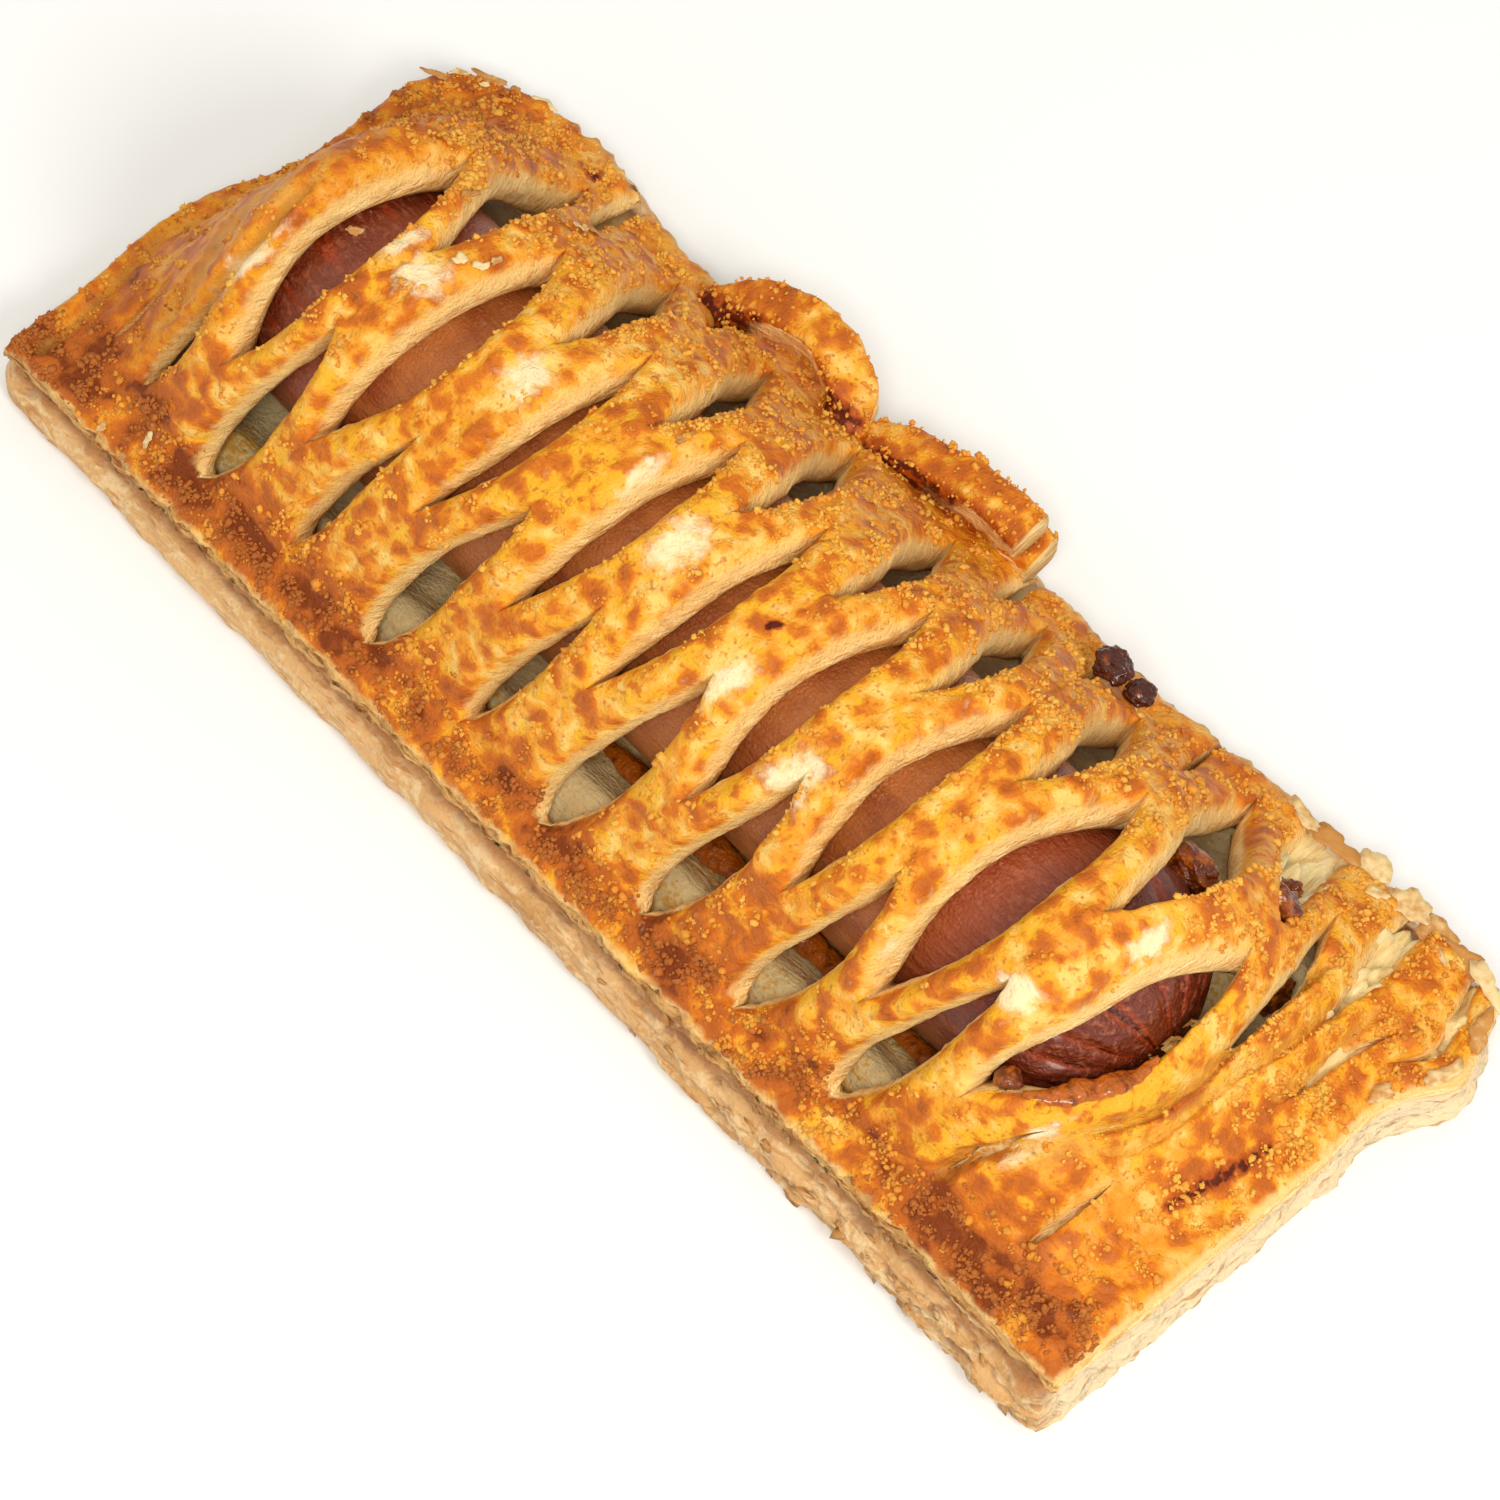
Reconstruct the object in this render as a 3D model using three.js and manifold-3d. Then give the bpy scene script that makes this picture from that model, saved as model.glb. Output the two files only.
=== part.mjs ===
// A sausage baked in puff pastry: a rectangular base sheet, a whole smoked sausage laid along it,
// a little tomato relish, and a lattice sheet draped over the top and sealed at the rim.
// Millimetres, +Z up, +X along the sausage. The slice rests on the flat underside of its base.

import * as THREE from 'three';
import { mergeVertices } from 'three/addons/utils/BufferGeometryUtils.js';
import Module from 'manifold-3d';

const wasm = await Module();
wasm.setup();

// Driving dimensions. The front is the long side at -Y, left and right are the ends at -X and +X.

const HALF_LENGTH = 80;
const HALF_WIDTH = 30.3;
const GAP = 0.3;
const SHEET_CLEARANCE = 0.6;

const SAUSAGE = { radius: 14.5, left: -64, right: 64.6, y: -2, bottom: 5.1 };
const SAUSAGE_AXIS_Z = SAUSAGE.bottom + SAUSAGE.radius;

const SHEET_ON_HUMP = 4.3;
const SHEET_AT_RIM = 3.2;
const RIM_TOP = { frontLeft: 9, frontRight: 13.5, backLeft: 6.8, backRight: 10.5 };
const RIM_MEAN = 10.5;
const RIM_WIDTH = 3;
const HUMP_END = { full: 55, flat: 79 };
const END_STRETCH = { from: 64, to: HALF_LENGTH };
const LEAN = 0.41;
const LEAN_STEPS = 16;
const SETTLE_HEIGHT = 14;
const CROWN = 0.55;
const EDGE_DROP = 0.75;
const PUFF = 0.35;

const BED_UNDER_SAUSAGE = 4.6;
const TROUGH = { floor: 6, brim: 12, floorEnd: 60, brimEnd: 72 };

// Small helpers.

const mix = THREE.MathUtils.lerp;
const smooth = THREE.MathUtils.smoothstep;

/** Slow unevenness between -1 and 1 over a surface with coordinates a and b. */
function uneven(a, b) {
  return (Math.sin(1.7 * a + 0.6 * b) + Math.sin(0.9 * b - 1.3 * a + 2.1) + Math.sin(2.3 * a + 1.9 * b + 4)) / 3;
}

/** A rounded hump of height 1 at the centre, which falls away over the width. */
function swell(value, centre, width) {
  return Math.exp(-(((value - centre) / width) ** 2));
}

/** Height of the crust's top edge, which differs from corner to corner. */
function rimTop(x, y) {
  const along = (x + HALF_LENGTH) / (2 * HALF_LENGTH);
  const across = (y + HALF_WIDTH) / (2 * HALF_WIDTH);
  const front = mix(RIM_TOP.frontLeft, RIM_TOP.frontRight, along);
  const back = mix(RIM_TOP.backLeft, RIM_TOP.backRight, along);
  return mix(front, back, across);
}

function geometryOf(positions) {
  const geometry = new THREE.BufferGeometry();
  geometry.setAttribute('position', new THREE.Float32BufferAttribute(positions, 3));
  return geometry;
}

function pushTriangle(positions, a, b, c) {
  positions.push(a.x, a.y, a.z, b.x, b.y, b.z, c.x, c.y, c.z);
}

function pushQuad(positions, a, b, c, d) {
  pushTriangle(positions, a, b, c);
  pushTriangle(positions, a, c, d);
}

/** A closed skin over a stack of rings of points, with a pole at each end of the stack. */
function skinOver(rings, startPole, endPole) {
  const positions = [];
  const count = rings[0].length;
  for (let i = 0; i < count; i += 1) {
    const next = (i + 1) % count;
    pushTriangle(positions, startPole, rings[0][next], rings[0][i]);
    for (let r = 0; r + 1 < rings.length; r += 1) {
      pushQuad(positions, rings[r][i], rings[r][next], rings[r + 1][next], rings[r + 1][i]);
    }
    const last = rings[rings.length - 1];
    pushTriangle(positions, endPole, last[i], last[next]);
  }
  return geometryOf(positions);
}

function toManifold(geometry) {
  const bare = geometry.clone();
  bare.deleteAttribute('normal');
  bare.deleteAttribute('uv');
  const merged = mergeVertices(bare, 1e-4);
  const vertProperties = new Float32Array(merged.attributes.position.array);
  const triVerts = new Uint32Array(merged.index.array);
  return new wasm.Manifold(new wasm.Mesh({ numProp: 3, vertProperties, triVerts }));
}

function fromManifold(solid) {
  const { vertProperties, triVerts } = solid.getMesh();
  const geometry = new THREE.BufferGeometry();
  geometry.setAttribute('position', new THREE.BufferAttribute(vertProperties, 3));
  geometry.setIndex(new THREE.BufferAttribute(triVerts, 1));
  return geometry.toNonIndexed();
}

// The sausage: a straight casing that narrows to a puckered tip at each end.

const CASING = { around: 26, body: 11, cap: 6, capLength: 13, folds: 8, foldDepth: 0.09 };

/** Ring of the casing at x, where closing is 0 along the body and 1 at the tip. */
function casingRing(x, closing, grow) {
  const ring = [];
  const radius = grow + (SAUSAGE.radius - 0.12) * Math.sqrt(Math.max(1 - closing ** 2.4, 0.006));
  const sway = 0.25 * Math.sin(0.045 * x + 1);
  for (let i = 0; i < CASING.around; i += 1) {
    const angle = (2 * Math.PI * i) / CASING.around;
    const fold = CASING.foldDepth * closing ** 2 * Math.cos(CASING.folds * angle + 0.6);
    const r = radius * (1 - CASING.foldDepth * closing ** 2 + fold);
    const y = SAUSAGE.y + sway + r * Math.cos(angle);
    ring.push(new THREE.Vector3(x, y, SAUSAGE_AXIS_Z + r * Math.sin(angle)));
  }
  return ring;
}

/** The sausage, or the space that it takes up with a clearance of grow all round. */
function casing(grow) {
  const rings = [];
  const left = SAUSAGE.left - grow;
  const right = SAUSAGE.right + grow;
  const { cap, capLength, body } = CASING;
  for (let k = 1; k < cap; k += 1) {
    const closing = Math.cos((k / cap) * (Math.PI / 2));
    rings.push(casingRing(left + capLength * (1 - closing), closing, grow));
  }
  for (let k = 0; k <= body; k += 1) {
    rings.push(casingRing(mix(left + capLength, right - capLength, k / body), 0, grow));
  }
  for (let k = cap - 1; k > 0; k -= 1) {
    const closing = Math.cos((k / cap) * (Math.PI / 2));
    rings.push(casingRing(right - capLength * (1 - closing), closing, grow));
  }
  const tip = (x) => new THREE.Vector3(x, SAUSAGE.y, SAUSAGE_AXIS_Z);
  return skinOver(rings, tip(left + 0.8), tip(right - 0.8));
}

const SAUSAGE_SPACE = toManifold(casing(GAP));

// The lattice sheet's cross-section over the sausage: rim, slope up, arc over the top, slope down, rim.

const HUMP_RADIUS = SAUSAGE.radius + SHEET_CLEARANCE + SHEET_ON_HUMP;
const FOOT_Y = HALF_WIDTH - RIM_WIDTH;

/** The slope on one side (-1 front, 1 back) from the foot to where it meets the arc. */
function slopeOf(side) {
  const run = side * (side * FOOT_Y - SAUSAGE.y);
  const drop = RIM_MEAN - SAUSAGE_AXIS_Z;
  const reach = Math.hypot(run, drop);
  return {
    length: Math.sqrt(reach ** 2 - HUMP_RADIUS ** 2),
    rise: Math.atan2(drop, run) + Math.acos(HUMP_RADIUS / reach),
  };
}

const FRONT_SLOPE = slopeOf(-1);
const BACK_SLOPE = slopeOf(1);
const ARC_START = Math.PI - FRONT_SLOPE.rise;
const ARC_END = BACK_SLOPE.rise;
const FRONT_ARC_U = RIM_WIDTH + FRONT_SLOPE.length;
const BACK_ARC_U = FRONT_ARC_U + HUMP_RADIUS * (ARC_START - ARC_END);
const BACK_FOOT_U = BACK_ARC_U + BACK_SLOPE.length;
const SHEET_WIDTH = BACK_FOOT_U + RIM_WIDTH;

/** Point at the distance u across the sheet, at a depth under its outer face, before rounding. */
function sharpSection(u, depth) {
  if (u < RIM_WIDTH) {
    return new THREE.Vector2(u - HALF_WIDTH, RIM_MEAN - depth);
  }
  if (u > BACK_FOOT_U) {
    return new THREE.Vector2(FOOT_Y + u - BACK_FOOT_U, RIM_MEAN - depth);
  }
  const turned = (u - FRONT_ARC_U) / HUMP_RADIUS;
  const angle = THREE.MathUtils.clamp(ARC_START - turned, ARC_END, ARC_START);
  const normal = new THREE.Vector2(Math.cos(angle), Math.sin(angle));
  const point = normal.clone().multiplyScalar(HUMP_RADIUS - depth);
  point.add(new THREE.Vector2(SAUSAGE.y, SAUSAGE_AXIS_Z));
  const down = Math.max(FRONT_ARC_U - u, 0) - Math.max(u - BACK_ARC_U, 0);
  point.addScaledVector(new THREE.Vector2(-normal.y, normal.x), down);
  return point;
}

const ROUNDING = [-3, -1.5, 0, 1.5, 3];

/** The same point on the section with its corners rounded off. */
function section(u, depth) {
  const sum = new THREE.Vector2();
  for (const shift of ROUNDING) {
    sum.add(sharpSection(u + shift, depth));
  }
  return sum.divideScalar(ROUNDING.length);
}

/** How far the end edges wander in and out from their straight line. */
function endWander(side, y) {
  if (side < 0) {
    return -1.6 * swell(y, -8, 9) + 2 * smooth(y, -2, 8) + 6 * smooth(y, 20, 32) ** 2;
  }
  return 2.6 * swell(y, 22, 4) - 0.6 * swell(y, 12, 5) - 1.2 * smooth(y, 26, 31);
}

/** How far the back edge wanders out at x. */
function backWander(x) {
  return 3.2 * swell(x, -58, 11) + 1.6 * swell(x, -22, 11) + 1.8 * swell(x, 3, 12) + 1.4 * smooth(x, 30, 50);
}

/**
 * Point of the sheet at s along it and u across it, at a depth under its outer face. The sheet leans
 * towards +X as it rises, lies flat past the sausage's ends, and thins towards the rims.
 */
function drape(s, u, nominalDepth) {
  const fromRim = Math.min(u, SHEET_WIDTH - u);
  const rimShare = 1 - smooth(fromRim, RIM_WIDTH, 4 * RIM_WIDTH);
  const depth = nominalDepth * mix(1, SHEET_AT_RIM / SHEET_ON_HUMP, rimShare);
  const hump = section(u, 0);
  const lowered = section(u, depth);
  const flatY = mix(-HALF_WIDTH, HALF_WIDTH, u / SHEET_WIDTH);
  let x = s;
  let share = 0;
  for (let step = 0; step < LEAN_STEPS; step += 1) {
    share = 1 - smooth(Math.abs(x), HUMP_END.full, HUMP_END.flat);
    x = s + LEAN * share * (hump.y - RIM_MEAN);
  }
  const flatDepth = nominalDepth * (SHEET_AT_RIM / SHEET_ON_HUMP);
  const y = mix(flatY, lowered.x, share);
  const raised = share * Math.max(hump.y - RIM_MEAN, 0);
  const settle = 1 - Math.min(raised / SETTLE_HEIGHT, 1);
  const z = mix(RIM_MEAN - flatDepth, lowered.y, share) + settle * (rimTop(x, flatY) - RIM_MEAN);
  const nearEnd = smooth(Math.abs(s), END_STRETCH.from, END_STRETCH.to);
  const nearBack = smooth(u, BACK_FOOT_U - 12, SHEET_WIDTH);
  return new THREE.Vector3(x + nearEnd * endWander(Math.sign(s), y), y + nearBack * backWander(x), z);
}

// The cuts. A roller slits the sheet in four staggered rows, then the sheet is pulled open.
// Each line of cuts runs across the sheet: where it is at each row, and how wide each slit opens.

const ROWS = [
  { centre: 18, from: 5, to: 32.5, skew: 0.58 },
  { centre: 39, from: 21.5, to: 55, skew: 1 },
  { centre: 62, from: 45.5, to: 82, skew: 1.1 },
  { centre: 84, from: 65, to: 112, skew: 1 },
];

const CUT_LINES = [
  { at: [-72, -73.5, -71.5, -71], open: [0.9, 0, 0, 0] },
  { at: [-65, -68.6, -65.5, -65], open: [2, 0, 0, 0] },
  { at: [-59.3, -61.4, -60.3, -59], open: [0, 7.2, 0, 0] },
  { at: [-52.6, -54, -54.3, -53.5], open: [5.2, 0, 6.4, 0] },
  { at: [-46.3, -45.5, -45.2, -49.6], open: [0, 6.4, 0, 2.6] },
  { at: [-39.7, -37.9, -36, -37.5], open: [2.6, 0, 4.6, 0] },
  { at: [-32.9, -31, -29.2, -31], open: [0, 3.2, 0, 1.2] },
  { at: [-25.9, -24.4, -21.8, -22.8], open: [5.6, 0, 4.2, 0] },
  { at: [-18.5, -17.7, -16, -16], open: [0, 4.2, 0, 0] },
  { at: [-12.1, -11.6, -8.9, -9.5], open: [3, 0, 4.6, 0] },
  { at: [-6.2, -5.2, -3, -3], open: [0, 3.5, 0, 0] },
  { at: [1.8, 1, 4.6, 5], open: [6.3, 0, 4.6, 0] },
  { at: [9.6, 8, 10.5, 13.3], open: [0, 5, 0, 2] },
  { at: [16.2, 14.8, 17.8, 18.8], open: [5.5, 0, 4.6, 0] },
  { at: [23.1, 21.3, 24.4, 25.7], open: [0, 5, 0, 1.2] },
  { at: [30.2, 28.2, 31.4, 32.7], open: [5.4, 0, 4.6, 0] },
  { at: [36.9, 35.7, 38.6, 40], open: [0, 7.4, 0, 1] },
  { at: [43.5, 44, 47, 47.3], open: [5.2, 0, 7.4, 0] },
  { at: [50.4, 55.4, 57.6, 55.6], open: [0, 8.9, 0, 5.6] },
  { at: [57, 63.8, 63.2, 61.4], open: [1.4, 0, 2.6, 0] },
  { at: [67.6, 68.4, 68.9, 67.8], open: [1.8, 0, 0, 3.2] },
  { at: [73, 72.8, 73.4, 74.3], open: [0, 0, 1.5, 0] },
  { at: [76.6, 76.4, 76.6, 76.8], open: [0, 0, 0, 1.5] },
];

const LEVELS = 34;
const SLIT_SHAPE = { narrowest: 0.7, perOpening: 0.06, widest: 1.15, roundness: 0.8 };

/** Position along the sheet of a line of cuts, at the distance u across it. */
function lineAt(line, u) {
  let row = 0;
  while (row + 2 < ROWS.length && u > ROWS[row + 1].centre) {
    row += 1;
  }
  const share = smooth(u, ROWS[row].centre, ROWS[row + 1].centre);
  return mix(line.at[row], line.at[row + 1], share);
}

/** Half the opening of a line of cuts at the distance u across the sheet, 0 where it is uncut. */
function openingAt(line, u) {
  const shape = SLIT_SHAPE;
  for (let row = 0; row < ROWS.length; row += 1) {
    const { from, to, skew } = ROWS[row];
    const narrow = Math.min(shape.widest, shape.narrowest + shape.perOpening * line.open[row]);
    const middle = (from + Math.min(to, SHEET_WIDTH)) / 2;
    const start = mix(middle, from, narrow);
    const end = mix(middle, to, narrow);
    if (line.open[row] > 0 && u > start && u < end) {
      const along = ((u - start) / (end - start)) ** skew;
      return 0.5 * line.open[row] * Math.sin(Math.PI * along) ** shape.roundness;
    }
  }
  return 0;
}

/** The two sides of every line of cuts at one level, with the sheet's own ends first and last. */
function cutSides(u) {
  const sides = [{ left: -HALF_LENGTH, right: -HALF_LENGTH, open: 1 }];
  for (const line of CUT_LINES) {
    const centre = lineAt(line, u);
    const half = openingAt(line, u);
    sides.push({ left: centre - half, right: centre + half, open: half });
  }
  sides.push({ left: HALF_LENGTH, right: HALF_LENGTH, open: 1 });
  return sides;
}

/** Corners of every bar at one level: outer face left, crown and right, and inner face left and right. */
function barCorners(u) {
  const sides = cutSides(u);
  const bars = [];
  for (let c = 0; c + 1 < sides.length; c += 1) {
    const left = sides[c].right;
    const right = sides[c + 1].left;
    const middle = (left + right) / 2;
    const puff = PUFF * uneven(0.21 * middle, 0.16 * u);
    bars.push({
      left: drape(left, u, EDGE_DROP * Math.min(sides[c].open, 1)),
      crown: drape(middle, u, -CROWN - puff),
      right: drape(right, u, EDGE_DROP * Math.min(sides[c + 1].open, 1)),
      underLeft: drape(left, u, SHEET_ON_HUMP),
      underRight: drape(right, u, SHEET_ON_HUMP),
      openLeft: sides[c].open > 0,
      openRight: sides[c + 1].open > 0,
    });
  }
  return bars;
}

function endWall(positions, bar, flip) {
  const outline = [bar.left, bar.crown, bar.right, bar.underRight, bar.underLeft];
  if (flip) {
    outline.reverse();
  }
  for (let i = 1; i + 1 < outline.length; i += 1) {
    pushTriangle(positions, outline[0], outline[i], outline[i + 1]);
  }
}

function slitSheet() {
  const positions = [];
  const levels = [];
  for (let i = 0; i <= LEVELS; i += 1) {
    levels.push(barCorners((SHEET_WIDTH * i) / LEVELS));
  }
  for (let i = 0; i < LEVELS; i += 1) {
    levels[i].forEach((near, c) => {
      const far = levels[i + 1][c];
      pushQuad(positions, near.left, near.crown, far.crown, far.left);
      pushQuad(positions, near.crown, near.right, far.right, far.crown);
      pushQuad(positions, near.underRight, near.underLeft, far.underLeft, far.underRight);
      if (near.openLeft || far.openLeft) {
        pushQuad(positions, near.underLeft, near.left, far.left, far.underLeft);
      }
      if (near.openRight || far.openRight) {
        pushQuad(positions, near.right, near.underRight, far.underRight, far.right);
      }
    });
  }
  levels[0].forEach((bar) => endWall(positions, bar, true));
  levels[LEVELS].forEach((bar) => endWall(positions, bar, false));
  return geometryOf(positions);
}

// Loose ends of the sheet that curl up past the back rim, and shards of crust lying on top.

const STRIP = { width: 5.4, thickness: 4.2 };

/** A strip of dough with rounded edges along a curve through the given points. */
function doughStrip(points, width, thickness) {
  const shape = new THREE.Shape();
  const w = width / 2;
  const t = thickness / 2;
  const round = 0.35 * thickness;
  shape.moveTo(-t + round, -w);
  shape.lineTo(t - round, -w);
  shape.quadraticCurveTo(t, -w, t, -w + round);
  shape.lineTo(t, w - round);
  shape.quadraticCurveTo(t, w, t - round, w);
  shape.lineTo(-t + round, w);
  shape.quadraticCurveTo(-t, w, -t, w - round);
  shape.lineTo(-t, -w + round);
  shape.quadraticCurveTo(-t, -w, -t + round, -w);
  const extrudePath = new THREE.CatmullRomCurve3(points.map((p) => new THREE.Vector3(...p)));
  return new THREE.ExtrudeGeometry(shape, { steps: 12, curveSegments: 1, bevelEnabled: false, extrudePath });
}

const CURLS = [
  { points: [[-33, 26, 8.6], [-29, 30, 11.8], [-21, 31.8, 13.8], [-14.5, 30.3, 12], [-11.5, 26, 8.6]], ...STRIP },
  { points: [[-11, 27.5, 8.6], [-5, 29.6, 11.4], [4, 30.8, 13.6], [11.5, 31.2, 14]], ...STRIP },
  { points: [[-9, 28, 8], [-2, 30, 8.8], [6, 31.4, 9.4], [12.5, 32, 9.6]], ...STRIP },
];

const SHARDS = [
  { s: -73, u: 82, turn: 1.2, size: 3.4 },
  { s: -48.6, u: 66, turn: 0.5, size: 3 },
  { s: -51.4, u: 46, turn: -0.4, size: 3.6 },
  { s: -54.4, u: 39, turn: 0.3, size: 3 },
  { s: -21.6, u: 43, turn: -0.25, size: 3.8 },
  { s: -59, u: 3.4, turn: -0.15, size: 3.4 },
  { s: 60, u: 89, turn: 0.5, size: 4 },
  { s: 71, u: 89, turn: -0.2, size: 4.4 },
];

/** A thin curled shard of crust lying on the sheet. */
function shard({ s, u, turn, size }) {
  const geometry = new THREE.BoxGeometry(size, 0.42 * size, 1, 2, 1, 1);
  const position = geometry.attributes.position;
  for (let i = 0; i < position.count; i += 1) {
    const reach = Math.abs(position.getX(i)) / (size / 2);
    position.setY(i, position.getY(i) * (1 - 0.45 * reach));
    position.setZ(i, position.getZ(i) + 0.3 * reach);
  }
  const ground = drape(s, u, 0);
  const alongX = drape(s + 1, u, 0).sub(ground).normalize();
  const acrossY = drape(s, u + 1, 0).sub(ground).normalize();
  const up = alongX.clone().cross(acrossY).normalize();
  const square = up.clone().cross(alongX);
  const frame = new THREE.Matrix4().makeBasis(alongX, square, up).setPosition(ground.addScaledVector(up, 0.25));
  geometry.rotateZ(turn);
  geometry.applyMatrix4(frame);
  return geometry;
}

function latticeTop() {
  let solid = toManifold(slitSheet());
  for (const { points, width, thickness } of CURLS) {
    solid = solid.add(toManifold(doughStrip(points, width, thickness)));
  }
  for (const piece of SHARDS) {
    solid = solid.add(toManifold(shard(piece)));
  }
  return fromManifold(solid.subtract(SAUSAGE_SPACE));
}

// The base sheet: a flat underside, a flank of risen layers, and a bed with a trough for the sausage.

const CORNER = { frontLeft: 2.5, frontRight: 2.5, backLeft: 9, backRight: 3 };
const OUTLINE_POINTS = 112;
const FLANK = [
  { out: 1.1, height: 0 },
  { out: 2.3, height: 0.16 },
  { out: 2.2, height: 0.48 },
  { out: 1.2, height: 0.68 },
  { out: -0.7, height: 0.8 },
  { out: 0.3, height: 0.9 },
  { out: -0.5, height: 1 },
];
const BED_RINGS = [0.93, 0.84, 0.7, 0.53, 0.36, 0.18];

function baseOutline() {
  const shape = new THREE.Shape();
  const x = HALF_LENGTH;
  const y = HALF_WIDTH - 0.4;
  const quarter = Math.PI / 2;
  shape.absarc(x - CORNER.frontRight, -y + CORNER.frontRight, CORNER.frontRight, -quarter, 0);
  shape.absarc(x - CORNER.backRight, y - CORNER.backRight, CORNER.backRight, 0, quarter);
  shape.absarc(-x + CORNER.backLeft, y - CORNER.backLeft, CORNER.backLeft, quarter, 2 * quarter);
  shape.absarc(-x + CORNER.frontLeft, -y + CORNER.frontLeft, CORNER.frontLeft, 2 * quarter, 3 * quarter);
  shape.closePath();
  return shape.getSpacedPoints(OUTLINE_POINTS).slice(0, OUTLINE_POINTS);
}

/** Height of the base's top face. */
function bedTop(x, y) {
  const level = rimTop(x, y) - SHEET_AT_RIM - GAP;
  const across = smooth(Math.abs(y - SAUSAGE.y), TROUGH.floor, TROUGH.brim);
  const along = smooth(Math.abs(x), TROUGH.floorEnd, TROUGH.brimEnd);
  return mix(BED_UNDER_SAUSAGE, level, Math.max(across, along));
}

function basePastry() {
  const outline = baseOutline();
  const rings = FLANK.map(({ out, height }, level) => outline.map((point, i) => {
    const before = outline[(i + OUTLINE_POINTS - 1) % OUTLINE_POINTS];
    const after = outline[(i + 1) % OUTLINE_POINTS];
    const normal = new THREE.Vector2(after.y - before.y, before.x - after.x).normalize();
    const flake = 0.4 * Math.sin(2.1 * i + 1.7 * level) * Math.sin(0.73 * i + 2.3 * level);
    const rightEnd = smooth(normal.x, 0.3, 0.9);
    const reach = mix(out, 0.1 * out - 0.4, rightEnd) + flake + 0.5 * uneven(0.11 * point.x, 0.13 * point.y + level);
    const edge = point.clone().addScaledVector(normal, reach);
    const nearEnd = smooth(Math.abs(point.x), END_STRETCH.from, END_STRETCH.to);
    edge.x += nearEnd * endWander(Math.sign(point.x), point.y);
    edge.y += smooth(point.y, 15, HALF_WIDTH) * backWander(point.x);
    const top = rimTop(point.x, point.y) - SHEET_AT_RIM - GAP;
    return new THREE.Vector3(edge.x, edge.y, top * height);
  }));
  for (const scale of BED_RINGS) {
    rings.push(outline.map((point) => {
      const x = point.x * scale;
      const y = point.y * scale;
      return new THREE.Vector3(x, y, bedTop(x, y));
    }));
  }
  return skinOver(rings, new THREE.Vector3(0, 0, 0), new THREE.Vector3(0, 0, bedTop(0, 0)));
}

// Relish: a bead along the sausage's front, and lumps that have run out between the bars.

const RELISH_LUMPS = [
  { name: 'relish_tip', at: [58, -12.4, 12.4], radii: [5, 3, 3], turn: 0.6 },
  { name: 'relish_shoulder', at: [54, 11.8, 26.4], radii: [3.2, 2, 1.9], turn: 0 },
  { name: 'relish_back', at: [57.8, 21, 12.6], radii: [1.9, 3, 2.8], turn: 0 },
  { name: 'relish_band', at: [64.6, 13.6, 12.6], radii: [1.6, 2.6, 2.2], turn: 0 },
];
const SPOT_ON_RIM = [
  { name: 'relish_spot_large', s: 26.8, u: 82, radius: 2.3 },
  { name: 'relish_spot_small', s: 31, u: 82.6, radius: 1.8 },
];
const BEAD = { from: -2, to: 52, y: -15.4, z: 9.6, radius: 1.7, steps: 16, around: 8 };

function lump(radii, roughness, seed, detail) {
  const geometry = new THREE.IcosahedronGeometry(1, detail);
  const position = geometry.attributes.position;
  const point = new THREE.Vector3();
  for (let i = 0; i < position.count; i += 1) {
    point.fromBufferAttribute(position, i);
    const swellBy = 1 + roughness * uneven(2.1 * point.x + seed, 2.3 * point.y + 1.9 * point.z);
    point.multiplyScalar(swellBy);
    position.setXYZ(i, point.x * radii[0], point.y * radii[1], point.z * radii[2]);
  }
  return geometry;
}

function relishBead() {
  const rings = [];
  for (let k = 0; k <= BEAD.steps; k += 1) {
    const along = k / BEAD.steps;
    const x = mix(BEAD.from, BEAD.to, along);
    const taper = Math.sin(Math.PI * mix(0.08, 0.92, along)) ** 0.5;
    const radius = BEAD.radius * taper * (1 + 0.2 * Math.sin(0.55 * x));
    const lift = 0.018 * (x - BEAD.from);
    const ring = [];
    for (let i = 0; i < BEAD.around; i += 1) {
      const angle = (2 * Math.PI * i) / BEAD.around;
      const y = BEAD.y + radius * Math.cos(angle);
      ring.push(new THREE.Vector3(x, y, BEAD.z + lift + 0.75 * radius * Math.sin(angle)));
    }
    rings.push(ring);
  }
  const tip = (x, lift) => new THREE.Vector3(x, BEAD.y, BEAD.z + lift);
  const rise = 0.018 * (BEAD.to - BEAD.from);
  return skinOver(rings, tip(BEAD.from - 0.8, 0), tip(BEAD.to + 0.8, rise));
}

// Materials and assembly.

const BAKED_CRUST = new THREE.MeshStandardMaterial({ color: 0xd98f35, roughness: 0.6, metalness: 0 });
const BASE_DOUGH = new THREE.MeshStandardMaterial({ color: 0xd9b682, roughness: 0.75, metalness: 0 });
const SMOKED_CASING = new THREE.MeshStandardMaterial({ color: 0xa8603c, roughness: 0.35, metalness: 0 });
const TOMATO_RELISH = new THREE.MeshStandardMaterial({ color: 0x7a2f10, roughness: 0.2, metalness: 0 });

const part = new THREE.Group();

function addPiece(name, geometry, material) {
  const piece = new THREE.Mesh(geometry, material);
  piece.name = name;
  part.add(piece);
  return piece;
}

addPiece('base_pastry', basePastry(), BASE_DOUGH);
addPiece('lattice_top', latticeTop(), BAKED_CRUST);
addPiece('sausage', casing(0), SMOKED_CASING);
addPiece('relish_bead', relishBead(), TOMATO_RELISH);

RELISH_LUMPS.forEach(({ name, at, radii, turn }, seed) => {
  const geometry = lump(radii, 0.16, seed, 2).rotateZ(turn).translate(...at);
  addPiece(name, fromManifold(toManifold(geometry).subtract(SAUSAGE_SPACE)), TOMATO_RELISH);
});

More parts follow.
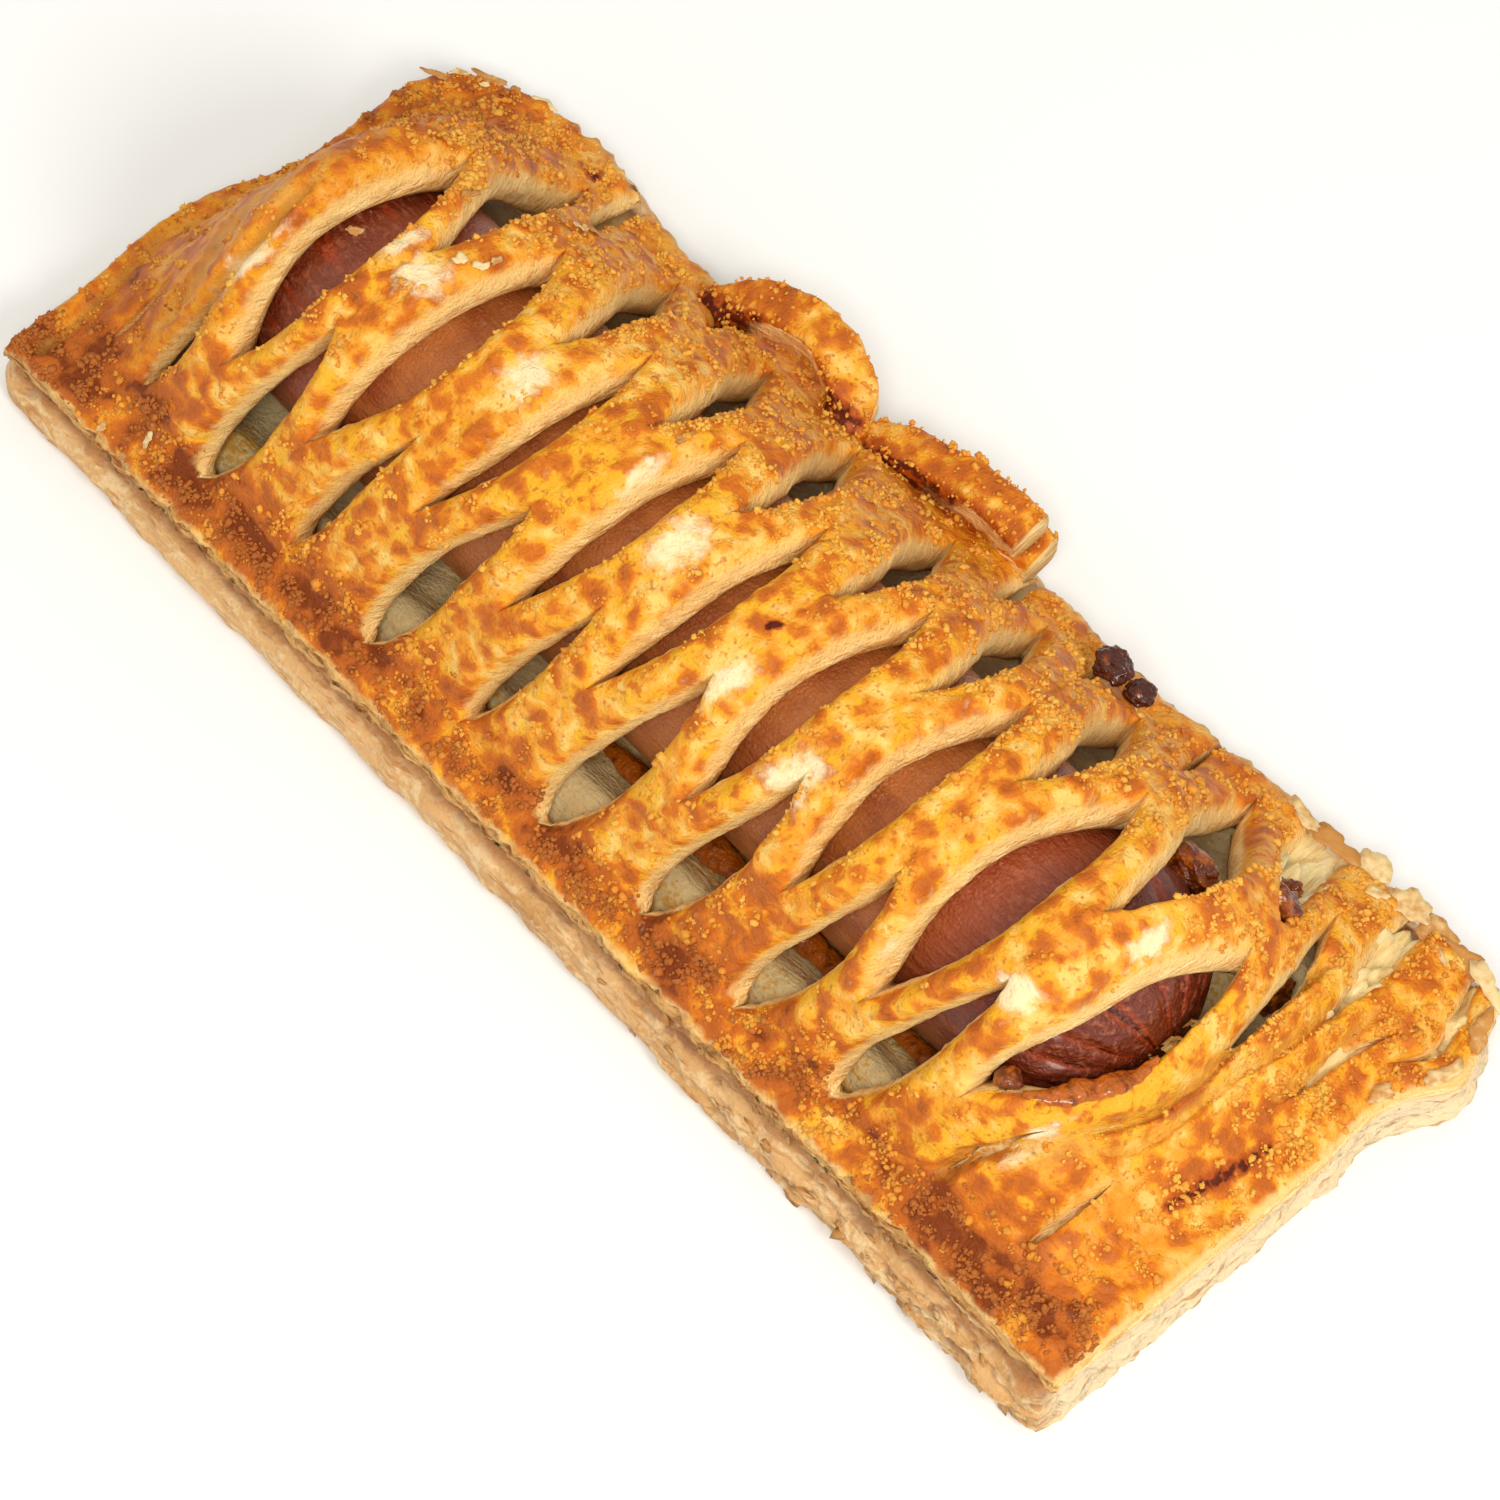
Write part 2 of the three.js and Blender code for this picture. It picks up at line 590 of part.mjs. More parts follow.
SPOT_ON_RIM.forEach(({ name, s, u, radius }, seed) => {
  const piece = addPiece(name, lump([radius, 0.9 * radius, 0.5 * radius], 0.1, seed + 7, 1), TOMATO_RELISH);
  piece.position.copy(drape(s, u, -CROWN - GAP - 0.75 * radius));
});

// The origin is under the middle of the slice, on the surface that it rests on.

const bounds = new THREE.Box3().setFromObject(part);
const centre = bounds.getCenter(new THREE.Vector3());
part.position.set(-centre.x, -centre.y, -bounds.min.z);

export default part;
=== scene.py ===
import math

import bmesh
import bpy
import numpy as np
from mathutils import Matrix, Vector, noise

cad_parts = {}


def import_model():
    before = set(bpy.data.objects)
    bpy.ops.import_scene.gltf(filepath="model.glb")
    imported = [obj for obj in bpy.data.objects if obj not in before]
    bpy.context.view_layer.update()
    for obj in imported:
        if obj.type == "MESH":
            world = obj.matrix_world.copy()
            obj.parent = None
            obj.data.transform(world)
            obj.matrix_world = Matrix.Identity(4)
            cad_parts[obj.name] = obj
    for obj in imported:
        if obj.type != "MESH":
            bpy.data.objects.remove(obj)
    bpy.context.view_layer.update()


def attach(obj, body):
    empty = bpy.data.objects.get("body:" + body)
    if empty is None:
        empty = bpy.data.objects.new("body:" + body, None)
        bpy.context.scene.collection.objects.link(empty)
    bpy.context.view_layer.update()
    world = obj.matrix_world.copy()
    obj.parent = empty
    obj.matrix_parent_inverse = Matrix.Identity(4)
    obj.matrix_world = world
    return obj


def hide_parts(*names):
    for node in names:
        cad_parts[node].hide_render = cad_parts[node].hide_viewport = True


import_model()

# BASE PASTRY. A rectangle of puff pastry, cut from a rolled sheet, which carries everything else.
# Its flanks have risen into many thin layers, rounded and pale below and flaky above, and its
# bed sags under the sausage. It baked flat on the tray. Sizes are in millimetres.

MM = 0.001
MIDDLE_OF_SHEET = np.array([0.652, -1.342, 0.0])
HALF_LENGTH = 80
HALF_WIDTH = 30.3
GAP = 0.3
RIM_TOP = {"front": (9, 13.5), "back": (6.8, 10.5)}
SHEET_AT_RIM = 3.2
END_STRETCH = (64, HALF_LENGTH)
CORNER = {"front_left": 2.5, "front_right": 2.5, "back_left": 9, "back_right": 3}
OUTLINE_POINTS = 760
FLANK_ROWS = 34
FLANK = [
    (0, 0.4), (0.06, 1.5), (0.2, 2.3), (0.42, 2.3), (0.6, 1.5),
    (0.7, 0.6), (0.77, -0.3), (0.82, -0.4), (0.9, 0.3), (1, 0),
]
LEAF = {"height": 1.1, "depth": 0.9, "steps": 2.2}
BED = {"under_sausage": 4.6, "floor": 6, "brim": 12, "floor_end": 60, "brim_end": 72}
RISEN_BED = {"front": 4.2, "front_place": (-20.3, 2.7), "back": 4, "back_place": (18.2, 3.4)}
RISEN_ENDS = (62, 76)
BED_RINGS = [0.985, 0.965, 0.94, 0.91, 0.88, 0.84, 0.79, 0.74, 0.68, 0.62, 0.55, 0.48, 0.4, 0.3, 0.2, 0.1]
CORNER_STEPS = 13
SAUSAGE = {"radius": 14.5, "left": -64, "right": 64.6, "y": -2, "bottom": 5.1}


def mix(a, b, share):
    """The value at a share of the way from a to b."""
    return a + (b - a) * share


def smooth(value, low, high):
    """0 at low and 1 at high, with soft ends, and falling instead where low is over high."""
    share = np.clip((value - low) / (high - low), 0, 1)
    return share * share * (3 - 2 * share)


def swell(value, centre, width):
    """A rounded hump of height 1 at the centre, which falls away over the width."""
    return np.exp(-(((value - centre) / width) ** 2))


def lumps(points, size, octaves=3, seed=0.0):
    """Uneven heights, mostly between -1 and 1, with lumps about as large as size."""
    shift = Vector((seed, 1.7 * seed, -0.6 * seed))
    scaled = np.asarray(points, float) / size
    return np.array([noise.fractal(Vector(point) + shift, 1.0, 2.0, octaves) for point in scaled])


def rim_top(x, y):
    """Height of the crust's top edge, which differs from corner to corner."""
    along = (x + HALF_LENGTH) / (2 * HALF_LENGTH)
    across = (y + HALF_WIDTH) / (2 * HALF_WIDTH)
    return mix(mix(*RIM_TOP["front"], along), mix(*RIM_TOP["back"], along), across)


def end_wander(side, y):
    """How far the end edges wander out from their straight line, at the left and right ends."""
    left = -1.6 * swell(y, -8, 9) + 2 * smooth(y, -2, 8) + 6 * smooth(y, 20, 32) ** 2
    right = 2.6 * swell(y, 22, 4) - 0.6 * swell(y, 12, 5) - 1.2 * smooth(y, 26, 31)
    return np.where(side < 0, left, right)


def back_wander(x):
    """How far the back edge wanders out."""
    lobes = 3.2 * swell(x, -58, 11) + 1.6 * swell(x, -22, 11) + 1.8 * swell(x, 3, 12)
    return lobes + 1.4 * smooth(x, 30, 50)


def base_outline():
    """Points along the rectangle with round corners, one after another, with their outward normals."""
    x, y = HALF_LENGTH, HALF_WIDTH - 0.4
    corners = [
        (x - CORNER["front_right"], -y + CORNER["front_right"], CORNER["front_right"], -90),
        (x - CORNER["back_right"], y - CORNER["back_right"], CORNER["back_right"], 0),
        (-x + CORNER["back_left"], y - CORNER["back_left"], CORNER["back_left"], 90),
        (-x + CORNER["front_left"], -y + CORNER["front_left"], CORNER["front_left"], 180),
    ]
    path = []
    for cx, cy, radius, start in corners:
        for turn in np.radians(np.linspace(start, start + 90, CORNER_STEPS)):
            path.append((cx + radius * math.cos(turn), cy + radius * math.sin(turn)))
    path = np.array(path + path[:1])
    reach = np.concatenate([[0], np.cumsum(np.linalg.norm(np.diff(path, axis=0), axis=1))])
    stops = np.linspace(0, reach[-1], OUTLINE_POINTS, endpoint=False)
    points = np.stack([np.interp(stops, reach, path[:, k]) for k in (0, 1)], axis=1)
    along = np.roll(points, -1, axis=0) - np.roll(points, 1, axis=0)
    normals = np.stack([along[:, 1], -along[:, 0]], axis=1)
    return points, normals / np.linalg.norm(normals, axis=1)[:, None]


def bed_top(x, y):
    """Height of the base's upper face, with its trough under the sausage."""
    level = rim_top(x, y) - SHEET_AT_RIM - GAP
    across = smooth(np.abs(y - SAUSAGE["y"]), BED["floor"], BED["brim"])
    along = smooth(np.abs(x), BED["floor_end"], BED["brim_end"])
    risen = RISEN_BED["front"] * swell(y, *RISEN_BED["front_place"])
    risen = risen + RISEN_BED["back"] * swell(y, *RISEN_BED["back_place"])
    risen = risen * (1 - smooth(np.abs(x), *RISEN_ENDS))
    return mix(BED["under_sausage"], level, np.maximum(across, along)) + risen


def terraces(value):
    """The same rise taken in steps with short steep risers, as thin leaves lie on each other."""
    whole = np.floor(value)
    return whole + smooth(value - whole, 0.32, 0.68)


def flank_row(height):
    """One row of points round the flank, at a share of its height, and how far its leaves stand out."""
    points, normals = base_outline()
    x, y = points.T
    out = np.interp(height, *zip(*FLANK))
    right_end = smooth(normals[:, 0], 0.3, 0.9)
    top = rim_top(x, y) - SHEET_AT_RIM - GAP
    z = height * top
    layered = np.clip(smooth(x, -15, 62) + right_end + smooth(height, 0.5, 0.75), 0.25, 1)
    leaf_places = np.column_stack([x * 0.22, y * 0.22, z / LEAF["height"]])
    ledges = terraces(LEAF["steps"] * lumps(leaf_places, 1.0, 3)) / LEAF["steps"]
    torn = lumps(np.column_stack([x, y, 3 * z]), 5.0, 3, 5.0)
    fine = lumps(np.column_stack([x, y, 2 * z]), 0.8, 2, 9.0)
    leaves = LEAF["depth"] * layered * ledges
    stand_out = leaves + 0.4 * torn + 0.18 * layered * fine
    free = smooth(height, 0, 0.08)
    reach = mix(out, 0.15 * out - 0.4, right_end) + free * stand_out
    near_end = smooth(np.abs(x), *END_STRETCH)
    edge_x = x + normals[:, 0] * reach + near_end * end_wander(np.sign(x), y)
    edge_y = y + normals[:, 1] * reach + smooth(y, 15, HALF_WIDTH) * back_wander(x)
    return np.column_stack([edge_x, edge_y, z]), leaves, right_end


def bed_ring(scale):
    """One ring of points on the bed, at a share of the way from its middle to its edge."""
    points, _ = base_outline()
    x, y = (points * scale).T
    puckers = 0.35 * lumps(np.column_stack([x, y, 0 * x]), 3.0) * smooth(1 - scale, 0, 0.1)
    return np.column_stack([x, y, bed_top(x, y) + puckers])


def round_turn(count):
    """Angles of the points of a ring."""
    return np.linspace(0, 2 * math.pi, count, endpoint=False)


def face_outwards(shape):
    """Turns every face of a closed mesh outwards."""
    bmesh.ops.recalc_face_normals(shape, faces=shape.faces)
    if shape.calc_volume(signed=True) < 0:
        bmesh.ops.reverse_faces(shape, faces=shape.faces)


def put(verts, points):
    """Moves each point of a mesh to its place."""
    for vert, point in zip(verts, points):
        vert.co = point


def points_of(verts):
    """The places of a mesh's points."""
    return np.array([vert.co for vert in verts])


def grow(shape, edges):
    """Extrudes a loop of edges once, and gives the new points and the new loop."""
    grown = bmesh.ops.extrude_edge_only(shape, edges=edges)["geom"]
    verts = [item for item in grown if isinstance(item, bmesh.types.BMVert)]
    fresh = set(verts)
    return verts, [e for e in grown if isinstance(e, bmesh.types.BMEdge) and fresh.issuperset(e.verts)]


def skin_over(rings):
    """A closed mesh over a stack of rings of points, each ring extruded from the one before."""
    skin = bmesh.new()
    step = skin.verts.layers.int.new("step")
    first = bmesh.ops.create_circle(skin, cap_ends=False, segments=len(rings[0]), radius=1)["verts"]
    order = sorted(first, key=lambda vert: math.atan2(vert.co.y, vert.co.x))
    put(order, rings[0])
    edges = list(skin.edges)
    bmesh.ops.edgeloop_fill(skin, edges=edges)
    for index, vert in enumerate(order):
        vert[step] = index
    for ring in rings[1:]:
        verts, edges = grow(skin, edges)
        put(verts, [ring[vert[step]] for vert in verts])
    bmesh.ops.edgeloop_fill(skin, edges=edges)
    face_outwards(skin)
    return skin


def ring_spots(piece):
    """Which point of its ring each point of a skinned piece is."""
    spots = np.empty(len(piece.data.vertices), np.int32)
    piece.data.attributes["step"].data.foreach_get("value", spots)
    return spots


def bring_in(name, data):
    """A new object in the scene."""
    made = bpy.data.objects.new(name, data)
    bpy.context.scene.collection.objects.link(made)
    return made


def add_piece(name, shape, slot, material, *nodes):
    """Turns a bmesh in millimetres into a smooth piece on the root body, in place of its nodes."""
    bmesh.ops.scale(shape, vec=(MM, MM, MM), verts=shape.verts)
    bmesh.ops.translate(shape, vec=MM * MIDDLE_OF_SHEET, verts=shape.verts)
    mesh = bpy.data.meshes.new(name)
    shape.to_mesh(mesh)
    shape.free()
    mesh.polygons.foreach_set("use_smooth", [True] * len(mesh.polygons))
    mesh.materials.append(material)
    piece = bring_in(name, mesh)
    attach(piece, "root")
    if nodes:
        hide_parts(*nodes)
    return piece


def places(piece):
    """The piece's points in millimetres, measured from the middle of the pastry sheet."""
    flat = np.empty(3 * len(piece.data.vertices))
    piece.data.vertices.foreach_get("co", flat)
    return flat.reshape(-1, 3) / MM - MIDDLE_OF_SHEET


def record(piece, name, values):
    """Keeps one number for each point of the piece, for its finish to read."""
    layer = piece.data.attributes.new(name, "FLOAT", "POINT")
    layer.data.foreach_set("value", np.asarray(values, np.float32))


class Tint:
    """A value inside a finish. Sums, differences and products of it become Math nodes."""

    def __init__(self, finish, socket):
        self.finish = finish
        self.socket = socket

    def maths(self, operation, *terms):
        """The value of one Math node."""
        return self.finish.node("ShaderNodeMath", {"operation": operation}, dict(enumerate(terms)))

    def __add__(self, other):
        return self.maths("ADD", self, other)

    def __sub__(self, other):
        return self.maths("SUBTRACT", self, other)

    def __rsub__(self, other):
        return self.maths("SUBTRACT", other, self)

    def __mul__(self, other):
        return self.maths("MULTIPLY", self, other)

    def __pow__(self, other):
        return self.maths("POWER", self, other)

    __radd__ = __add__
    __rmul__ = __mul__


class Finish:
    """A material under construction, whose patterns are measured in millimetres."""

    def __init__(self, name, **constants):
        self.material = bpy.data.materials.new(name)
        self.material.use_nodes = True
        self.tree = self.material.node_tree
        self.shader = self.tree.nodes["Principled BSDF"]
        for socket, value in constants.items():
            self.shader.inputs[socket.replace("_", " ")].default_value = value
        place = self.node("ShaderNodeTexCoord", output="Object")
        self.place = self.node("ShaderNodeVectorMath", {"operation": "SCALE"}, {0: place, "Scale": 1 / MM})
        self.colour = None

    def let_light_in(self, weight, depth, colours):
        """Light goes into the piece as deep as the given millimetres, and each colour by its share."""
        self.shader.inputs["Subsurface Weight"].default_value = weight
        self.shader.inputs["Subsurface Scale"].default_value = depth * MM
        self.shader.inputs["Subsurface Radius"].default_value = colours

    def node(self, kind, settings=None, values=None, output=0):
        """A new node with its settings and the values of its sockets, as the value of one output."""
        made = self.tree.nodes.new(kind)
        for name, value in (settings or {}).items():
            setattr(made, name, value)
        for socket, value in (values or {}).items():
            if isinstance(value, Tint):
                self.tree.links.new(value.socket, made.inputs[socket])
            else:
                made.inputs[socket].default_value = value
        return Tint(self, made.outputs[output])

    def grain(self, size, detail=3, stretch=(1, 1, 1), distortion=0.0):
        """Noise from 0 to 1 with grains of a size, longer along an axis where stretch is over 1."""
        scale = tuple(1 / (size * part) for part in stretch)
        spread = self.node("ShaderNodeMapping", {}, {"Vector": self.place, "Scale": scale})
        values = {"Vector": spread, "Scale": 1, "Detail": detail, "Distortion": distortion}
        return self.node("ShaderNodeTexNoise", {}, values)

    def rounds(self, size):
        """0 at the middle of each of many scattered rounds of a size, rising to 1 away from them."""
        spread = self.node("ShaderNodeVectorMath", {"operation": "SCALE"}, {0: self.place, "Scale": 1 / size})
        return self.node("ShaderNodeTexVoronoi", {}, {"Vector": spread, "Scale": 1}, output="Distance")

    def marked(self, name):
        """The number that the piece keeps for each of its points."""
        return self.node("ShaderNodeAttribute", {"attribute_name": name}, output="Fac")

    def band(self, value, low, high):
        """0 below low, 1 above high, and smooth between."""
        limits = {"Value": value, "From Min": low, "From Max": high}
        return self.node("ShaderNodeMapRange", {"interpolation_type": "SMOOTHSTEP"}, limits)

    def blend(self, under, over, share):
        """One colour over another. A colour is #rrggbb as the eye sees it, or comes from a node."""
        colours = [seen(c) if isinstance(c, str) else c for c in (under, over)]
        values = {0: share, 6: colours[0], 7: colours[1]}
        return self.node("ShaderNodeMix", {"data_type": "RGBA"}, values, output=2)

    def ground(self, under, over, share):
        """Starts the finish's colour."""
        self.colour = self.blend(under, over, share)

    def wash(self, colour, share):
        """Lays one more colour over the finish's colour."""
        self.colour = self.blend(self.colour, colour, share)

    def paint(self, socket, value):
        """Gives a value to a socket of the finish's shader."""
        self.tree.links.new(value.socket, self.shader.inputs[socket])

    def relief(self, height, depth):
        """Bumps as deep as the given millimetres where the height goes from 0 to 1."""
        values = {"Strength": 1.0, "Distance": depth * MM, "Height": height}
        self.paint("Normal", self.node("ShaderNodeBump", {}, values))


def seen(code):
    """A colour given as #rrggbb, as light values."""
    channels = [int(code[k:k + 2], 16) / 255 for k in (1, 3, 5)]
    return tuple(c / 12.92 if c < 0.04045 else ((c + 0.055) / 1.055) ** 2.4 for c in channels) + (1.0,)


def layered_dough():
    """Pale risen dough in thin leaves, golden where it stands out and browned in the open seams, with painted
    shade in the hollows where the leaves stand back.
    """
    finish = Finish("layered_dough", Roughness=0.5, Coat_Weight=0.1, Coat_Roughness=0.3)
    finish.let_light_in(0.15, 1, (1.0, 0.6, 0.35))
    leaves = finish.grain(0.5, 4, (10, 10, 1), 0.4)
    patches = finish.grain(6, 3, (2, 2, 0.7))
    scuffs = finish.grain(1.6, 4, (1.8, 1.8, 0.8), 1.0)
    specks = finish.grain(0.5, 3)
    height = finish.marked("height")
    tan = patches * 0.9 + scuffs * 0.5 + finish.marked("crest") * 0.1 + (1 - height) * 0.12
    finish.ground("#dfb076", "#cf9a5a", finish.band(tan, 0.6, 0.88))
    finish.wash("#a86e36", finish.band(tan, 0.86, 1.08))
    finish.wash("#efd3a2", finish.band(scuffs + specks * 0.3, 0.6, 0.82) * 0.75)
    seam = finish.band(height, 0.62, 0.76) * (0.55 + leaves * 0.5)
    finish.wash("#a86a34", seam * finish.band(patches + leaves * 0.6, 0.5, 0.75))
    # Painted shade: darker brown in the hollows where the leaves stand back under their neighbours.
    finish.wash("#90552a", finish.marked("hollow_shade") * finish.band(leaves + scuffs, 0.8, 1.05) * 0.8)
    ends = finish.marked("end_face") * finish.band(leaves + patches * 0.6, 0.1, 0.6) * 0.85
    finish.wash("#efdab4", ends)
    threads = finish.grain(0.35, 3, (12, 12, 1), 0.3)
    finish.wash("#b97c42", finish.band(threads, 0.56, 0.68) * 0.7)
    bed = finish.blend("#ffe3a8", "#f4b42c", finish.band(specks * 0.6 + patches * 0.6, 0.63, 0.72) * 0.8)
    finish.wash(bed, finish.marked("bed"))
    finish.paint("Base Color", finish.colour)
    finish.relief(leaves * 0.7 + specks * 0.5 + scuffs * 0.7, 0.45)
    return finish.material


flank_rows = [flank_row(height) for height in np.linspace(0, 1, FLANK_ROWS)]
base_rings = [row[0] for row in flank_rows] + [bed_ring(scale) for scale in BED_RINGS]
base = add_piece("base_pastry_layers", skin_over(base_rings), "base_dough", layered_dough(), "base_pastry")
base_steps = np.repeat(np.arange(len(base_rings)), OUTLINE_POINTS)
base_places = places(base)
base_rim = rim_top(base_places[:, 0], base_places[:, 1]) - SHEET_AT_RIM - GAP
record(base, "height", np.clip(base_places[:, 2] / base_rim, 0, 1))
record(base, "bed", (base_steps >= FLANK_ROWS).astype(float))


def on_flank(column):
    """One of the values that the flank's rows came with, at every point of the base, 0 on the bed."""
    rows = [row[column] for row in flank_rows] + [np.zeros(OUTLINE_POINTS)] * len(BED_RINGS)
    return np.array(rows)[base_steps, ring_spots(base)]


record(base, "crest", on_flank(1))
# Marks the hollows where the leaves stand back, which the finish darkens as painted shade.
record(base, "hollow_shade", smooth(-on_flank(1), 0.12, 0.5))
record(base, "end_face", on_flank(2))

# SAUSAGE. A whole smoked sausage in natural casing, laid straight along the base. The casing is
# drawn together into puckers at both ends, where it has darkened, and is glossy with its own fat.

CASING_AROUND = 150
CASING_ALONG = 210
CAP_STEPS = 34
CAP_LENGTH = 13
FOLD_DEPTH = 0.12
SAUSAGE_AXIS_Z = SAUSAGE["bottom"] + SAUSAGE["radius"]


def puckers(angle, x):
    """Depth of the gathers round the casing's ends, from 0 on a lobe to 1 in a crease."""
    drift = 0.35 * np.sin(0.4 * x)
    lobes = np.cos(8 * angle + 0.9 * np.sin(2 * angle + 0.6) + 0.5 * np.sin(5 * angle) + drift)
    return (1 - np.abs(lobes)) ** 2


def casing_ring(x, closing):
    """Ring of the casing at x, where closing is 0 along the body and 1 at the tip."""
    radius = (SAUSAGE["radius"] - 0.12) * math.sqrt(max(1 - closing ** 2.4, 0.006))
    sway = 0.25 * math.sin(0.045 * x + 1)
    angle = round_turn(CASING_AROUND)
    gather = smooth(closing, 0, 0.8)
    spots = np.column_stack([0.25 * x * np.ones_like(angle), 4 * np.cos(angle), 4 * np.sin(angle)])
    folds = FOLD_DEPTH * puckers(angle, x) - 0.04 * lumps(spots, 1.2, 3, 70.0)
    reach = radius * (1 - gather * folds)
    y = SAUSAGE["y"] + sway + reach * np.cos(angle)
    z = SAUSAGE_AXIS_Z + reach * np.sin(angle)
    return np.column_stack([np.full_like(y, x), y, z])


def casing_rings():
    """Rings of the whole casing: a round cap, the straight body, and the other cap."""
    left, right = SAUSAGE["left"], SAUSAGE["right"]
    closings = np.cos(np.linspace(0.03, 1, CAP_STEPS) * math.pi / 2)
    body = np.linspace(left + CAP_LENGTH, right - CAP_LENGTH, CASING_ALONG)[1:-1]
    rings = [casing_ring(left + CAP_LENGTH * (1 - closing), closing) for closing in closings]
    rings += [casing_ring(x, 0.0) for x in body]
    return rings + [casing_ring(right - CAP_LENGTH * (1 - closing), closing) for closing in closings[::-1]]


def smoked_skin():
    """Orange-tan meat under a thin glossy casing, deep red-brown at the ends, and darkened in the creases of
    its gathers as painted shade.
    """
    finish = Finish("smoked_skin", Roughness=0.36, Coat_Roughness=0.2, Specular_IOR_Level=0.35)
    finish.let_light_in(0.15, 1.5, (1.0, 0.4, 0.2))
    mottle = finish.grain(5, 4)
    streaks = finish.grain(0.7, 3, (6, 1, 1))
    pores = finish.grain(0.35, 2)
    dark = finish.marked("dark")
    crease = finish.marked("crease")
    flecks = finish.grain(0.8, 4, (1.6, 1, 1), 0.6)
    finish.ground("#bc7036", "#9c5022", finish.band(mottle * 0.7 + streaks * 0.4, 0.45, 0.7))
    finish.wash("#984522", finish.band(dark + mottle * 0.8 - 0.4, 0.05, 0.45))
    finish.wash("#702a12", finish.band(dark + mottle * 0.5 + streaks * 0.3 - 0.4, 0.45, 0.95))
    # Painted shade: the creases between the gathered lobes darken to red-brown and then near black.
    finish.wash("#963610", finish.band(crease + streaks * 0.3, 0.35, 0.6))
    finish.wash("#4a1006", finish.band(crease + streaks * 0.3, 0.65, 1.0))
    # Pale streaks along the casing: its fine dry wrinkles, and partly a painted highlight along them.
    fibre_streaks_and_sheen = finish.band(pores * 0.4 + streaks, 0.72, 0.95)
    finish.wash("#dd9a62", fibre_streaks_and_sheen * 0.3 * (1 - dark))
    finish.wash("#bf7050", finish.band(flecks + mottle * 0.4, 0.68, 0.95) * dark * 0.6)
    finish.paint("Base Color", finish.colour)
    finish.paint("Coat Weight", 0.1 + dark * 0.3)
    finish.relief(pores * 0.7 + streaks * (0.7 + dark * 0.6) + flecks * dark + mottle * 0.5, 0.3)
    return finish.material


sausage = add_piece("sausage_casing", skin_over(casing_rings()), "smoked_casing", smoked_skin(), "sausage")
sausage_places = places(sausage)
sausage_x = sausage_places[:, 0]
past_left = smooth(sausage_x, SAUSAGE["left"] + 30, SAUSAGE["left"] + 6)
past_right = smooth(sausage_x, SAUSAGE["right"] - 34, SAUSAGE["right"] - 6)
sausage_turn = np.arctan2(sausage_places[:, 2] - SAUSAGE_AXIS_Z, sausage_places[:, 1] - SAUSAGE["y"])
gathered = smooth(np.abs(sausage_x), SAUSAGE["right"] - 24, SAUSAGE["right"] - 3)
record(sausage, "dark", np.maximum(past_left, past_right))
# Depth of the creases in the gathered ends, which the finish darkens as painted shade.
record(sausage, "crease", gathered * puckers(sausage_turn, sausage_x))

# LATTICE SHEET. A second sheet of puff pastry, slit by a roller in four staggered rows, pulled open
# and draped over the sausage, then pressed to the base along the rim. It is glazed and golden on
# top, browner at the rim, and pale where the knife cut it or the pull has stretched it.

SHEET_CLEARANCE = 0.6
SHEET_ON_HUMP = 4.3
RIM_MEAN = 10.5
RIM_WIDTH = 3
HUMP_END = (55, 79)
LEAN = 0.41
LEAN_STEPS = 16
SECTION_ROUNDING = (-3, -1.5, 0, 1.5, 3)
SETTLE_HEIGHT = 14
CROWN = 0.6
PUFF = 0.35
CUT_DROP = {"left": (0.9, 1.3), "right": (1.35, 1.7)}
CROWN_REACH = 2.2
RIM_DROP = (1.5, 2.2)
HUMP_RADIUS = SAUSAGE["radius"] + SHEET_CLEARANCE + SHEET_ON_HUMP
FOOT_Y = HALF_WIDTH - RIM_WIDTH
FAR_CORNER_RISE = 1.5
FAR_CORNER_EDGE = (-56, -72)
FAR_CORNER_DEPTH = 14


def slope_of(side):
    """Length and rise of the slope on one side, -1 front or 1 back, up to where it meets the arc."""
    run = side * (side * FOOT_Y - SAUSAGE["y"])
    drop = RIM_MEAN - SAUSAGE_AXIS_Z
    reach = math.hypot(run, drop)
    length = math.sqrt(reach ** 2 - HUMP_RADIUS ** 2)
    return length, math.atan2(drop, run) + math.acos(HUMP_RADIUS / reach)


FRONT_LENGTH, FRONT_RISE = slope_of(-1)
BACK_LENGTH, BACK_RISE = slope_of(1)
ARC_START = math.pi - FRONT_RISE
ARC_END = BACK_RISE
FRONT_ARC_U = RIM_WIDTH + FRONT_LENGTH
BACK_ARC_U = FRONT_ARC_U + HUMP_RADIUS * (ARC_START - ARC_END)
BACK_FOOT_U = BACK_ARC_U + BACK_LENGTH
SHEET_WIDTH = BACK_FOOT_U + RIM_WIDTH


def sharp_section(u, depth):
    """Points of the sheet's cross-section at u across it, under its outer face, before rounding."""
    turned = (u - FRONT_ARC_U) / HUMP_RADIUS
    angle = np.clip(ARC_START - turned, ARC_END, ARC_START)
    down = np.maximum(FRONT_ARC_U - u, 0) - np.maximum(u - BACK_ARC_U, 0)
    y = SAUSAGE["y"] + (HUMP_RADIUS - depth) * np.cos(angle) - down * np.sin(angle)
    z = SAUSAGE_AXIS_Z + (HUMP_RADIUS - depth) * np.sin(angle) + down * np.cos(angle)
    front = u < RIM_WIDTH
    back = u > BACK_FOOT_U
    y = np.where(front, u - HALF_WIDTH, np.where(back, FOOT_Y + u - BACK_FOOT_U, y))
    return y, np.where(front | back, RIM_MEAN - depth, z)


def section(u, depth):
    """The same points with the section's corners rounded off."""
    points = [sharp_section(u + shift, depth) for shift in SECTION_ROUNDING]
    return tuple(sum(values) / len(SECTION_ROUNDING) for values in zip(*points))


def from_rim(u):
    """Distance across the sheet to the nearer rim."""
    return np.minimum(u, SHEET_WIDTH - u)


